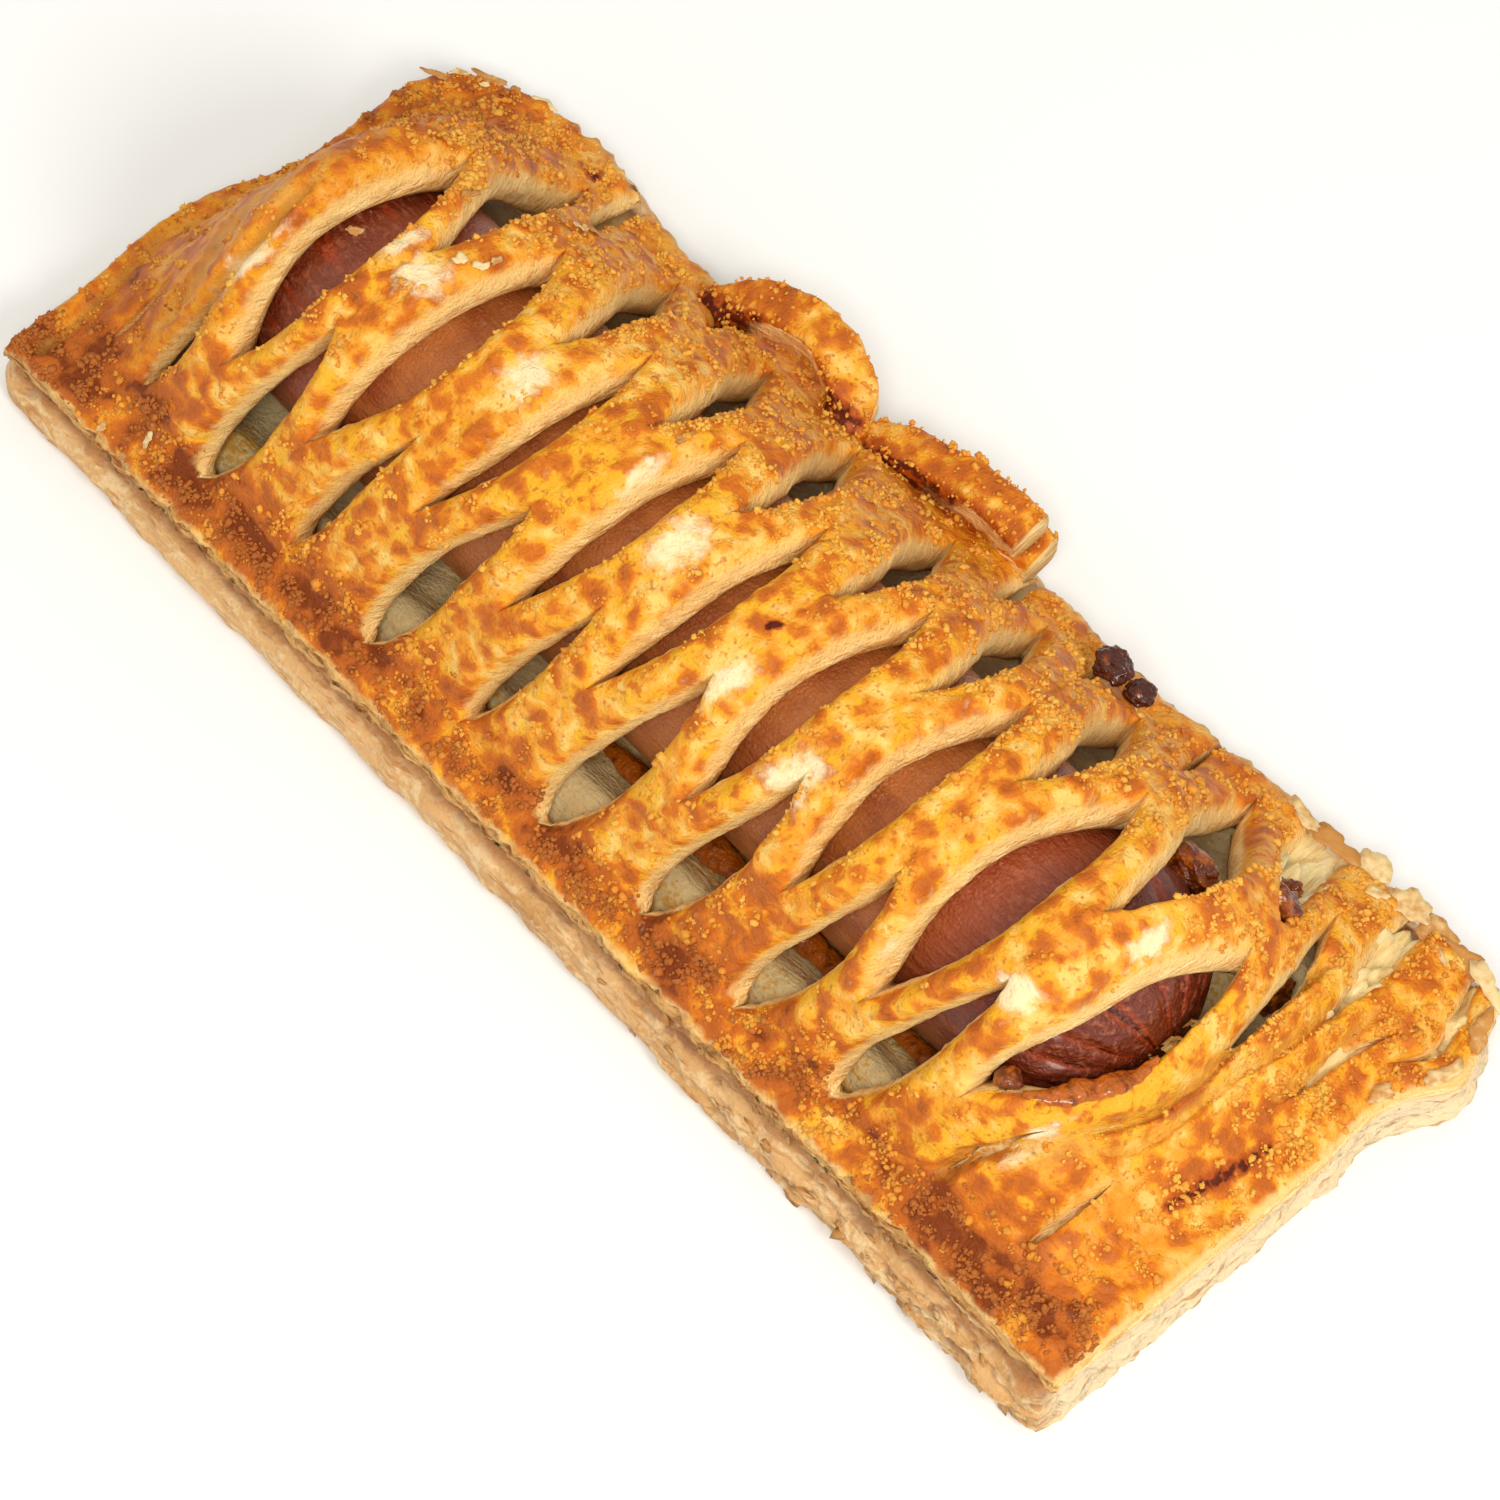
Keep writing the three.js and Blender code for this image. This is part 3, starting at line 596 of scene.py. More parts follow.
def drape(s, u, nominal_depth):
    """Points of the sheet at s along it and u across it, at a depth under its outer face."""
    rim_share = 1 - smooth(from_rim(u), RIM_WIDTH, 4 * RIM_WIDTH)
    depth = nominal_depth * mix(1, SHEET_AT_RIM / SHEET_ON_HUMP, rim_share)
    _, hump_z = section(u, 0)
    lowered_y, lowered_z = section(u, depth)
    flat_y = mix(-HALF_WIDTH, HALF_WIDTH, u / SHEET_WIDTH)
    x = s
    for _ in range(LEAN_STEPS):
        share = 1 - smooth(np.abs(x), *HUMP_END)
        x = s + LEAN * share * (hump_z - RIM_MEAN)
    flat_depth = nominal_depth * SHEET_AT_RIM / SHEET_ON_HUMP
    y = mix(flat_y, lowered_y, share)
    raised = share * np.maximum(hump_z - RIM_MEAN, 0)
    settle = 1 - np.minimum(raised / SETTLE_HEIGHT, 1)
    z = mix(RIM_MEAN - flat_depth, lowered_z, share) + settle * (rim_top(x, flat_y) - RIM_MEAN)
    z = z + FAR_CORNER_RISE * smooth(x, *FAR_CORNER_EDGE) * swell(u, SHEET_WIDTH, FAR_CORNER_DEPTH)
    near_end = smooth(np.abs(s), *END_STRETCH)
    near_back = smooth(u, BACK_FOOT_U - 12, SHEET_WIDTH)
    return np.column_stack([x + near_end * end_wander(np.sign(s), y), y + near_back * back_wander(x), z])


# The slits of the lattice sheet: where each row lies across the sheet, and for each line of cuts,
# where it is at every row and how wide its slit has opened there.

ROWS = [
    {"centre": 18, "from": 5, "to": 32.5, "skew": 0.58},
    {"centre": 39, "from": 21.5, "to": 55, "skew": 1},
    {"centre": 62, "from": 45.5, "to": 82, "skew": 1.1},
    {"centre": 84, "from": 65, "to": 112, "skew": 1},
]
CUT_LINES = [
    ([-72, -73.5, -71.5, -71], [0.9, 0, 0, 0]),
    ([-65, -68.6, -65.5, -65], [2, 0, 0, 0]),
    ([-59.3, -61.4, -60.3, -59], [0, 7.2, 0, 0]),
    ([-52.6, -54, -54.3, -53.5], [5.2, 0, 6.4, 0]),
    ([-46.3, -45.5, -45.2, -49.6], [0, 6.4, 0, 2.6]),
    ([-39.7, -37.9, -36, -37.5], [2.6, 0, 4.6, 0]),
    ([-32.9, -31, -29.2, -31], [0, 3.2, 0, 1.2]),
    ([-25.9, -24.4, -21.8, -22.8], [5.6, 0, 4.2, 0]),
    ([-18.5, -17.7, -16, -16], [0, 4.2, 0, 0]),
    ([-12.1, -11.6, -8.9, -9.5], [3, 0, 4.6, 0]),
    ([-6.2, -5.2, -3, -3], [0, 3.5, 0, 0]),
    ([1.8, 1, 4.6, 5], [6.3, 0, 4.6, 0]),
    ([9.6, 8, 10.5, 13.3], [0, 5, 0, 2]),
    ([16.2, 14.8, 17.8, 18.8], [5.5, 0, 4.6, 0]),
    ([23.1, 21.3, 24.4, 25.7], [0, 5, 0, 1.2]),
    ([30.2, 28.2, 31.4, 32.7], [5.4, 0, 4.6, 0]),
    ([36.9, 35.7, 38.6, 40], [0, 7.4, 0, 1]),
    ([43.5, 44, 47, 47.3], [5.2, 0, 7.4, 0]),
    ([50.4, 55.4, 57.6, 55.6], [0, 8.9, 0, 5.6]),
    ([57, 63.8, 63.2, 61.4], [0.7, 0, 2.6, 0]),
    ([67.6, 68.4, 68.9, 67.8], [1.3, 0, 0, 3.2]),
    ([73, 72.8, 73.4, 74.3], [0, 0, 1.5, 0]),
    ([76.6, 76.4, 76.6, 76.8], [0, 0, 0, 1.5]),
]
SLIT_SHAPE = {"narrowest": 0.7, "per_opening": 0.06, "widest": 1.15, "roundness": 0.8}
SMALL_SLIT = {"narrowest": 0.3, "per_opening": 0.2}


def line_at(at, u):
    """Position along the sheet of a line of cuts, at each distance u across it."""
    centres = [row["centre"] for row in ROWS]
    place = np.full_like(u, at[0])
    for row in range(len(ROWS) - 1):
        place = mix(place, at[row + 1], smooth(u, centres[row], centres[row + 1]))
    return place


def opening_at(openings, u):
    """Half the opening of a line of cuts at each distance u, 0 where it is uncut."""
    half = np.zeros_like(u)
    for row, opening in zip(ROWS, openings):
        if opening == 0:
            continue
        long = SLIT_SHAPE["narrowest"] + SLIT_SHAPE["per_opening"] * opening
        short = SMALL_SLIT["narrowest"] + SMALL_SLIT["per_opening"] * opening
        narrow = min(SLIT_SHAPE["widest"], long, short)
        middle = (row["from"] + min(row["to"], SHEET_WIDTH)) / 2
        start = mix(middle, row["from"], narrow)
        end = mix(middle, row["to"], narrow)
        along = np.clip((u - start) / (end - start), 0, 1) ** row["skew"]
        half = np.maximum(half, 0.5 * opening * np.sin(math.pi * along) ** SLIT_SHAPE["roundness"])
    return np.where(half < 0.01, 0, half)


def bar_sides(u):
    """Left and right side of every bar, and how far each side is open, at each distance u."""
    end, open_end = np.full_like(u, HALF_LENGTH), np.ones_like(u)
    lines = [line_at(at, u) for at, _ in CUT_LINES]
    halves = [opening_at(openings, u) for _, openings in CUT_LINES]
    left = [-end] + [line + half for line, half in zip(lines, halves)]
    right = [line - half for line, half in zip(lines, halves)] + [end]
    return tuple(np.array(side) for side in (left, right, [open_end] + halves, halves + [open_end]))


def shoulder(gap, opening, reach):
    """1 at an edge that stands open, 0 at a closed one, and falling to 0 at the reach from it."""
    return np.minimum(opening, 1) * np.clip(1 - gap / reach, 0, 1) ** 2


def sheet_lumps(s, u, size, octaves, seed):
    """Uneven heights over the sheet."""
    return lumps(np.column_stack([s, u, 0 * u]), size, octaves, seed)


def blisters(s, u):
    """Height of the bubbles that rose under the glaze."""
    small = 2.2 * sheet_lumps(s, u, 2.1, 2, 11.0) ** 2 - 0.2
    ripples = 0.14 * sheet_lumps(s, u, 0.8, 2, 17.0)
    return 0.3 * sheet_lumps(s, u, 4.4, 2, 3.0) + 0.5 * np.minimum(small, 0.8) + ripples


def near_line(s, u, line):
    """Distance of each place from a line through (s, u) points."""
    nearest = np.full_like(s, 1e3)
    for (s0, u0), (s1, u1) in zip(line[:-1], line[1:]):
        run = np.array([s1 - s0, u1 - u0])
        share = np.clip(((s - s0) * run[0] + (u - u0) * run[1]) / (run @ run), 0, 1)
        nearest = np.minimum(nearest, np.hypot(s - s0 - share * run[0], u - u0 - share * run[1]))
    return nearest


# Folds pressed into the sheet: the line of each, its depth, which is below 0 on a ridge, and its width.

FOLDS_IN_SHEET = [
    ([(56.5, 9), (56, 13), (58, 19), (60.4, 25), (62, 30), (64.2, 35.6), (64.8, 44), (64, 52), (63.6, 60),
      (64.4, 72)], 2.8, 0.9),
    ([(58.4, 14), (60.6, 21), (62.6, 27.6), (65, 33.6), (65.7, 42), (65.6, 52), (66, 64)], -0.7, 1.2),
    ([(60.8, 20), (62.4, 26.4), (66, 31.2), (66.8, 36), (66.8, 50), (68.4, 58), (68.8, 69)], 2.2, 0.9),
    ([(72, 52), (73, 62), (71.2, 74)], 1.6, 0.8),
    ([(-76.4, 3), (-77, 10), (-77.8, 22), (-78.2, 30), (-77, 40)], 2.2, 0.8),
    ([(-68.4, 19), (-69.4, 26), (-70.8, 33), (-71.5, 42), (-73, 52)], 2.2, 0.9),
    ([(-66.2, 25), (-67.2, 33), (-68, 40)], 1.5, 0.8),
    ([(-73.6, 14), (-74.4, 24), (-75, 34), (-75, 46)], -0.9, 1.6),
]


def fold_depth(s, u):
    """How deep the folds lie at each place of the sheet."""
    depth = np.zeros_like(s)
    for line, deep, wide in FOLDS_IN_SHEET:
        depth = depth + deep * swell(near_line(s, u, line), 0, wide)
    return depth


def crust_depth(s, u, left, right, open_left, open_right):
    """Depth of the glazed face: a crown on each bar, rounded edges at cuts and rims, and blisters."""
    to_left, to_right = s - left, right - s
    puff = PUFF * (np.sin(0.238 * s + 0.272 * u) + np.sin(0.144 * u - 0.27 * s + 2.1)) / 2
    width = right - left
    crown = (CROWN + puff) * (1 - shoulder(to_left, open_left, np.minimum(CROWN_REACH, width)))
    crown = crown * (1 - shoulder(to_right, open_right, np.minimum(CROWN_REACH, width)))
    drop = RIM_DROP[0] * shoulder(from_rim(u), 1, RIM_DROP[1])
    for gap, opening, side in ((to_left, open_left, "left"), (to_right, open_right, "right")):
        deep, reach = CUT_DROP[side]
        drop = drop + deep * shoulder(gap, opening, np.minimum(reach, width))
    return drop - crown - blisters(s, u) + fold_depth(s, u)


ACROSS = 13
LEVELS = 190
WALL_STEPS = 5
TOUCHING = 0.006


def spread_out(across):
    """Shares from 0 to 1 across a bar, moved closer together at its two sides."""
    return mix(across, 0.5 - 0.5 * np.cos(math.pi * across), 0.6)


def place_grid(sheet, left, right, open_left, open_right, u):
    """One bar's glazed face: a grid whose points hold s, u and depth."""
    made = bmesh.ops.create_grid(sheet, x_segments=ACROSS, y_segments=len(u) - 1, size=0.5)["verts"]
    across, along, _ = points_of(made).T + 0.5
    level = np.rint(along * (len(u) - 1)).astype(int)
    s = mix(left[level], right[level], spread_out(across))
    depth = crust_depth(s, u[level], left[level], right[level], open_left[level], open_right[level])
    put(made, np.column_stack([s, u[level], depth]))


def place_underside(sheet, left, right, u):
    """One bar's hidden underside, with finer end faces that meet the rim's foot."""
    made = bmesh.ops.create_grid(sheet, x_segments=1, y_segments=len(u) - 3, size=0.5)["verts"]
    for vert in made:
        level = 1 + round((vert.co.y + 0.5) * (len(u) - 3))
        side = left if vert.co.x < 0 else right
        vert.co = (side[level], u[level], SHEET_ON_HUMP)
    shares = spread_out(np.linspace(0, 1, ACROSS + 1))
    for end, inner in ((0, 1), (-1, -2)):
        foot = [(mix(left[end], right[end], share), u[end], SHEET_ON_HUMP) for share in shares]
        inside = [(side[inner], u[inner], SHEET_ON_HUMP) for side in (right, left)]
        sheet.faces.new([sheet.verts.new(place) for place in foot + inside])


def slit_sheet():
    """The whole sheet, with points that hold s, u and depth, and how far down a cut each lies."""
    sheet = bmesh.new()
    cut = sheet.verts.layers.float.new("cut")
    u = np.linspace(0, SHEET_WIDTH, LEVELS)
    left, right, open_left, open_right = bar_sides(u)
    for bar in range(len(left)):
        place_grid(sheet, left[bar], right[bar], open_left[bar], open_right[bar], u)
    bmesh.ops.remove_doubles(sheet, verts=sheet.verts, dist=TOUCHING)
    edges = [edge for edge in sheet.edges if edge.is_boundary]
    for step in range(WALL_STEPS):
        verts, edges = grow(sheet, edges)
        for vert in verts:
            vert.co.z = mix(vert.co.z, SHEET_ON_HUMP, 1 / (WALL_STEPS - step))
            vert[cut] = (step + 1) / WALL_STEPS
    for bar in range(len(left)):
        place_underside(sheet, left[bar], right[bar], u)
    bmesh.ops.remove_doubles(sheet, verts=sheet.verts, dist=TOUCHING)
    return sheet


def beside_cuts(s, u):
    """How far each place is from the left and right side of its bar, and how open those are."""
    left, right, open_left, open_right = bar_sides(u)
    misses = np.maximum(left - s, 0) + np.maximum(s - right, 0)
    bar = np.argmin(misses, axis=0)
    pick = np.arange(len(s))
    left, right, open_left, open_right = (side[bar, pick] for side in (left, right, open_left, open_right))
    return np.abs(s - left), np.abs(right - s), open_left, open_right


def ragged_sides(s, u, depth, cut):
    """Moves points of cut sides and rims, which swell out at mid-depth and show their layers."""
    to_left, to_right, open_left, open_right = beside_cuts(s, u)
    on_left = to_left < to_right
    opening = np.where(on_left, open_left, open_right)
    middle = np.sin(math.pi * np.clip(cut, 0, 1))
    layers = lumps(np.column_stack([s * 0.2, u * 0.2, depth * 1.7]), 1.0, 3, 40.0)
    swollen = np.minimum(0.45, 0.4 * opening) * middle * (1 + 0.7 * layers)
    front_rim = u < TOUCHING
    moved_s = s + np.where(front_rim, 0, np.where(on_left, -1, 1) * swollen)
    ragged = lumps(np.column_stack([s, 0 * s, depth * 2.5]), 2.6, 3, 50.0) * 0.7 + 0.2
    outward = np.where(u < SHEET_WIDTH / 2, -1, 1) * np.clip(1 - from_rim(u) / 3, 0, 1) ** 2
    return moved_s, u + outward * (ragged + 0.5 * np.where(front_rim, middle * layers, 0))


def drape_shape(shape):
    """Moves every point of a flat shape, held as s, u and depth, to its place over the sausage."""
    flat = points_of(shape.verts)
    cut = shape.verts.layers.float["cut"]
    s, u = ragged_sides(*flat.T, np.array([vert[cut] for vert in shape.verts]))
    put(shape.verts, drape(s, u, flat[:, 2]))
    face_outwards(shape)
    return flat


# Places on the glaze: torn open by the pull, burnt, and dusted with yellow spice. Each torn place has
# its s, its u and its size along and across; each streak has its line, its width and its strength.

STRETCHED = [
    (-56.8, 42.8, 1.6, 3), (-52, 42, 3, 2.6), (-36, 41.5, 2.6, 3.4), (-20, 42, 1.2, 4), (-12, 40, 3, 4.4),
    (2.4, 34, 2, 3.4), (14.8, 32, 3, 3.4), (34.5, 26.5, 1.4, 3), (50, 45, 1.6, 3.6), (45.5, 31.8, 2.8, 2.6),
    (-66, 30, 1.5, 5), (59, 22, 1.6, 5),
]
BURNT = [
    ([(76, 47.2), (75.6, 42.8), (74.8, 38), (74, 30.4)], 1.3, 1),
    ([(64.8, 49.2), (65.2, 44), (65.6, 41.2), (65.6, 38), (64.4, 34.8)], 1.1, 0.7),
    ([(55.6, 26.4), (58.8, 31.2), (60.4, 35.6)], 0.9, 0.55),
    ([(-54.8, 85.2), (-54.6, 86.4)], 1.2, 1),
    ([(1, 40.6), (1.5, 41)], 0.5, 2),
]
DUSTED = [
    ([(53, 9), (56.5, 18), (59, 25), (62, 31), (63.4, 38)], 2.2, 1),
    ([(-30, 33), (-22, 39), (-16, 44)], 3, 1),
    ([(-66, 20), (-64, 30), (-62, 40)], 2, 1),
]


def streaked(s, u, streaks):
    """Strength of the strongest streak at each place, 0 away from them all."""
    share = np.zeros_like(s)
    for line, wide, strength in streaks:
        share = np.maximum(share, strength * swell(near_line(s, u, line), 0, wide))
    return share


def stretched_share(s, u):
    """1 where the pull has torn the glaze open and the dough shows pale, and 0 elsewhere."""
    share = np.zeros_like(s)
    for at_s, at_u, wide_s, wide_u in STRETCHED:
        share = np.maximum(share, swell(s, at_s, wide_s) * swell(u, at_u, wide_u))
    return share


def bake_share(s, u):
    """How brown the oven has left each place: 0 is golden, and 1 or more is brown."""
    blotches = sheet_lumps(s, u, 7, 2, 90.0)
    front = 2.8 * swell(u, 4, 6) * np.clip(0.8 + 1.3 * blotches, 0.2, 1.6)
    back = 0.3 * smooth(u, 50, 64)
    far_corner = 0.3 * smooth(s, -45, -62) * smooth(u, 45, 62)
    near_end = 0.15 * smooth(s, 64, 74)
    blotched = 0.8 * smooth(s, -60, -72) + smooth(s, -42, -58) * swell(u, 10, 7)
    blotched = blotched + 1.4 * smooth(s, 50, 66) * swell(u, 4, 16)
    return front + back + far_corner + near_end + blotched * np.clip(0.8 + blotches, 0, 1.6)


def golden_crust():
    """Glazed puff pastry: yellow with orange-brown blotches on its blisters, and pale cut sides."""
    finish = Finish("golden_crust", Coat_Weight=0.07, Coat_Roughness=0.26, Specular_IOR_Level=0.15)
    finish.let_light_in(0.1, 1, (1.0, 0.55, 0.25))
    broad = finish.grain(9, 2)
    patches = finish.grain(3, 1.5, distortion=0.4)
    rounds = finish.rounds(2.7)
    spots = finish.grain(1.2, 2)
    fine = finish.grain(0.3, 3)
    yellows = finish.grain(2.6, 2, distortion=0.5)
    freckles = finish.grain(0.7, 1)
    layers = finish.grain(0.4, 4, (8, 6, 1), 0.5)
    edge = finish.marked("edge")
    ruddy = finish.marked("ruddy")
    cut = finish.band(finish.marked("cut") + (fine - 0.5) * 0.2, 0.04, 0.3)
    pale = finish.marked("pale") + (patches - 0.5) * 1.1 + (spots - 0.5) * 0.9 + (fine - 0.5) * 0.2
    pale = finish.band(pale, 0.3, 0.95)
    toast = broad * 0.5 + patches * 0.95 - rounds * 0.5 + spots * 0.25 + fine * 0.08 - 0.62
    toast = toast + finish.marked("puffed") * 0.12 + finish.marked("bake") * 0.15
    toast = toast - edge * 0.12 - finish.marked("pale") * 0.1
    finish.ground("#f6ca6e", "#eb9d2d", finish.band(toast, -0.26, 0.0))
    toast = toast - ruddy * 0.03
    dusted = finish.band(yellows + finish.marked("dust") * 0.3, 0.48, 0.7)
    finish.wash("#efb024", dusted * 0.85)
    finish.wash("#dc8416", ruddy * (0.3 + patches * 0.7))
    finish.wash("#d3741c", finish.band(toast, -0.02, 0.14))
    finish.wash("#c4681f", finish.band(freckles, 0.58, 0.74) * 0.7)
    finish.wash("#bb6220", finish.band(toast, 0.12, 0.3))
    finish.wash("#80390f", finish.band(toast, 0.36, 0.62))
    finish.wash("#fde9be", pale * 0.9)
    finish.wash("#f2cc85", finish.band(edge + (spots - 0.5) * 0.8, 0.4, 1) * 0.9)
    # These colours serve the burnt streaks on the sheet, and also painted shade on the inner faces of the
    # curls.
    burnt_and_shade = finish.marked("burnt_and_shade") * (spots * 1.6 + freckles - 0.3)
    finish.wash("#b05216", finish.band(burnt_and_shade, 0.25, 0.75))
    finish.wash("#5c1e0c", finish.band(burnt_and_shade, 0.75, 1.1))
    # Painted shade: a duller, darker gold in the bottoms of the folds pressed into the sheet.
    finish.wash("#dba548", finish.marked("fold_shade") * (0.2 + spots * 0.6))
    side = finish.blend("#ffe0a0", "#e8ae60", finish.band(layers + fine * 0.3, 0.5, 0.85))
    side = finish.blend(side, "#cf9650", finish.marked("rim") * 0.75)
    side = finish.blend(side, "#9a5a2a", finish.marked("rim") * finish.band(layers + spots * 0.4, 0.62, 0.9))
    finish.wash(side, cut)
    finish.paint("Base Color", finish.colour)
    finish.paint("Roughness", 0.34 + 0.3 * cut + 0.25 * spots)
    finish.relief(spots * 0.8 + freckles * 0.3 + fine * 0.35 + layers * cut * 0.8, 0.45)
    return finish.material


def record_crust(piece, s, u):
    """Keeps what the crust's finish needs to know about each place of the sheet."""
    to_left, to_right, open_left, open_right = beside_cuts(s, u)
    record(piece, "pale", stretched_share(s, u))
    record(piece, "bake", bake_share(s, u))
    record(piece, "burnt_and_shade", streaked(s, u, BURNT))
    # Depth of the fold bottoms, which the finish darkens as painted shade.
    record(piece, "fold_shade", smooth(fold_depth(s, u), 0.3, 1.6))
    ruddy = np.maximum(0.65 * smooth(u, 50, 62), smooth(s, -58, -68)) * smooth(s, 76, 50)
    record(piece, "ruddy", np.maximum(ruddy, 0.8 * smooth(s, 62, 68) * smooth(u, 34, 22)))
    record(piece, "puffed", np.clip(2.5 * blisters(s, u), -1, 1))
    by_rim = 0.8 * np.exp(-from_rim(u) / 0.8)
    record(piece, "edge", np.maximum(np.minimum(open_right, 1) * np.exp(-to_right / 0.8), by_rim))
    record(piece, "dust", np.minimum(open_left, 1) * np.exp(-to_left / 1.2) + streaked(s, u, DUSTED))
    record(piece, "rim", smooth(from_rim(u), 1, 0.2))


GLAZED = golden_crust()
sheet_shape = slit_sheet()
sheet_flat = drape_shape(sheet_shape)
lattice = add_piece("lattice_sheet", sheet_shape, "baked_crust", GLAZED, "lattice_top")
record_crust(lattice, sheet_flat[:, 0], sheet_flat[:, 1])

# LOOSE ENDS. Where the last row of slits runs out past the back edge, the ends of the sheet have
# curled up in the oven: one bar stands in a loop, and the next lies as a folded flap of two leaves.

STRIP_HALF = (2.7, 2.1)
STRIP_SQUARENESS = 0.5
STRIP_AROUND = 28
STRIP_STEPS = 90
CURLS = {
    "curled_loop": [(-33, 26, 8.6), (-29, 30, 11.8), (-21, 31.8, 13.8), (-14.5, 30.3, 12), (-11.5, 26, 8.6)],
    "folded_flap_upper": [(-11, 27.5, 8.6), (-5, 29.6, 11.4), (4, 30.8, 13.6), (11.5, 31.2, 14)],
    "folded_flap_lower": [(-9, 28, 8), (-2, 30, 8.8), (6, 31.4, 9.4), (12.5, 32, 9.6)],
}


def smooth_path(points, count):
    """Points along a smooth curve through the given ones."""
    ends = [2 * points[0] - points[1], 2 * points[-1] - points[-2]]
    ring = np.array([ends[0], *points, ends[1]])
    path = []
    for t in np.linspace(0, len(points) - 1, count):
        k = min(int(t), len(points) - 2)
        f = t - k
        a, b, c, d = ring[k:k + 4]
        bend = (2 * a - 5 * b + 4 * c - d) * f * f + (3 * b - a - 3 * c + d) * f ** 3
        path.append(0.5 * (2 * b + (c - a) * f + bend))
    return np.array(path)


def strip_rings(points):
    """Rings round a strip of dough, wide and flat with rounded edges, along a curve."""
    path = smooth_path(np.array(points, float), STRIP_STEPS)
    along = np.gradient(path, axis=0)
    along /= np.linalg.norm(along, axis=1)[:, None]
    side = np.cross(along, (0, 0, 1))
    side /= np.linalg.norm(side, axis=1)[:, None]
    up = np.cross(side, along)
    angle = round_turn(STRIP_AROUND)
    wide = np.sign(np.cos(angle)) * np.abs(np.cos(angle)) ** STRIP_SQUARENESS * STRIP_HALF[0]
    thick = np.sign(np.sin(angle)) * np.abs(np.sin(angle)) ** STRIP_SQUARENESS * STRIP_HALF[1]
    rings = []
    for k in range(STRIP_STEPS):
        ring = path[k] + wide[:, None] * side[k] + thick[:, None] * up[k]
        rings.append(ring + 0.125 * lumps(ring, 2.6, 3, 21.0)[:, None] * (ring - path[k]))
    return rings


curl_tops = []
for name, points in CURLS.items():
    curl = add_piece(name, skin_over(strip_rings(points)), "baked_crust", GLAZED, "lattice_top")
    curl_normals = np.array([vert.normal for vert in curl.data.vertices])
    curl_places = places(curl)
    curl_tops.append(np.hstack([curl_places, curl_normals])[curl_normals[:, 2] > 0.4])
    # Faces turned in under each curl's arch: partly sauce stain, partly painted shade under the arch.
    inner = smooth(curl_places[:, 1], 30.5, 27) * smooth(curl_normals[:, 1], 0.2, -0.5)
    record(curl, "cut", smooth(curl_normals[:, 2], 0.35, -0.1) * (1 - inner))
    record(curl, "bake", np.full(len(curl_normals), 0.6))
    # The inner faces take the burnt colours as sauce stain and painted shade.
    record(curl, "burnt_and_shade", 1.1 * inner)
    record(curl, "puffed", np.clip(2.5 * blisters(curl_places[:, 0], 60 + curl_places[:, 1]), -1, 1))

# RELISH. Tomato relish was spread along the sausage before the lattice went on. It has boiled up
# between the bars and onto the rim in sticky dark lumps, and runs as a bead along the sausage's
# front and as a thin seam round its right tip.

LUMPS_BY_SAUSAGE = {
    "relish_tip": ((58, -12.4, 12.4), (5, 3, 3), 0.6),
    "relish_shoulder": ((54, 11.8, 26.4), (3.2, 2, 1.9), 0),
    "relish_back": ((57.8, 21, 12.6), (1.9, 3, 2.8), 0),
    "relish_band": ((64.6, 13.6, 12.6), (1.6, 2.6, 2.2), 0),
}
SPOTS_ON_RIM = {"relish_spot_large": (26.8, 82, 2.3), "relish_spot_small": (31, 82.6, 1.8)}
SPOT_SUNK = 0.75
LUMP_SUBDIVISIONS = 5
LUMPS_BY_BARS = {"relish_between_bars": (56, 70.5, 1.4, 2.4), "relish_by_round_tip": (51.4, 23, 2.6, 1.5)}
BEAD = {"from": -2, "to": 52, "y": -15.4, "z": 9.6, "climb": 0.018, "radius": 1.7, "steps": 160, "around": 28}
SEAM = {"line": 18, "from": 24.6, "to": 40.5, "depth": 0.9, "radius": 0.75, "steps": 90, "around": 26}


def sticky_relish():
    """Wet red-brown relish, darker where it has cooked down."""
    gloss = {"Coat_Weight": 0.6, "Coat_Roughness": 0.08, "Specular_IOR_Level": 0.25}
    finish = Finish("sticky_relish", Roughness=0.25, **gloss)
    finish.let_light_in(0.08, 1.5, (1.0, 0.3, 0.1))
    pulp = finish.grain(1.1, 3)
    thick = finish.band(pulp + finish.marked("cooked_down") * 0.5, 0.45, 0.8)
    finish.ground("#b85e10", "#662806", thick)
    finish.wash("#481506", finish.band(pulp + finish.marked("cooked_down"), 1.0, 1.3))
    finish.paint("Base Color", finish.colour)
    finish.relief(pulp + 0.4 * finish.grain(0.4, 2), 0.5)
    return finish.material


RELISH = sticky_relish()


def relish_lump(name, centre, radii, turn, cooked_down, *nodes):
    """A knobbly lump of relish round a centre."""
    shape = bmesh.new()
    bmesh.ops.create_icosphere(shape, subdivisions=LUMP_SUBDIVISIONS, radius=1)
    ball = points_of(shape.verts)
    knobs = 0.95 + 0.26 * lumps(ball * max(radii), 1.5, 3, centre[0])
    x, y, z = (ball * knobs[:, None] * np.array(radii)).T
    cos, sin = math.cos(turn), math.sin(turn)
    put(shape.verts, np.column_stack([cos * x - sin * y, sin * x + cos * y, z]) + np.array(centre))
    piece = add_piece(name + "_lump", shape, "tomato_relish", RELISH, *nodes)
    record(piece, "cooked_down", np.full(len(ball), cooked_down))


def place_on_sheet(s, u, depth):
    """One place on the draped sheet."""
    return drape(np.array([s], float), np.array([u], float), np.array([depth]))[0]


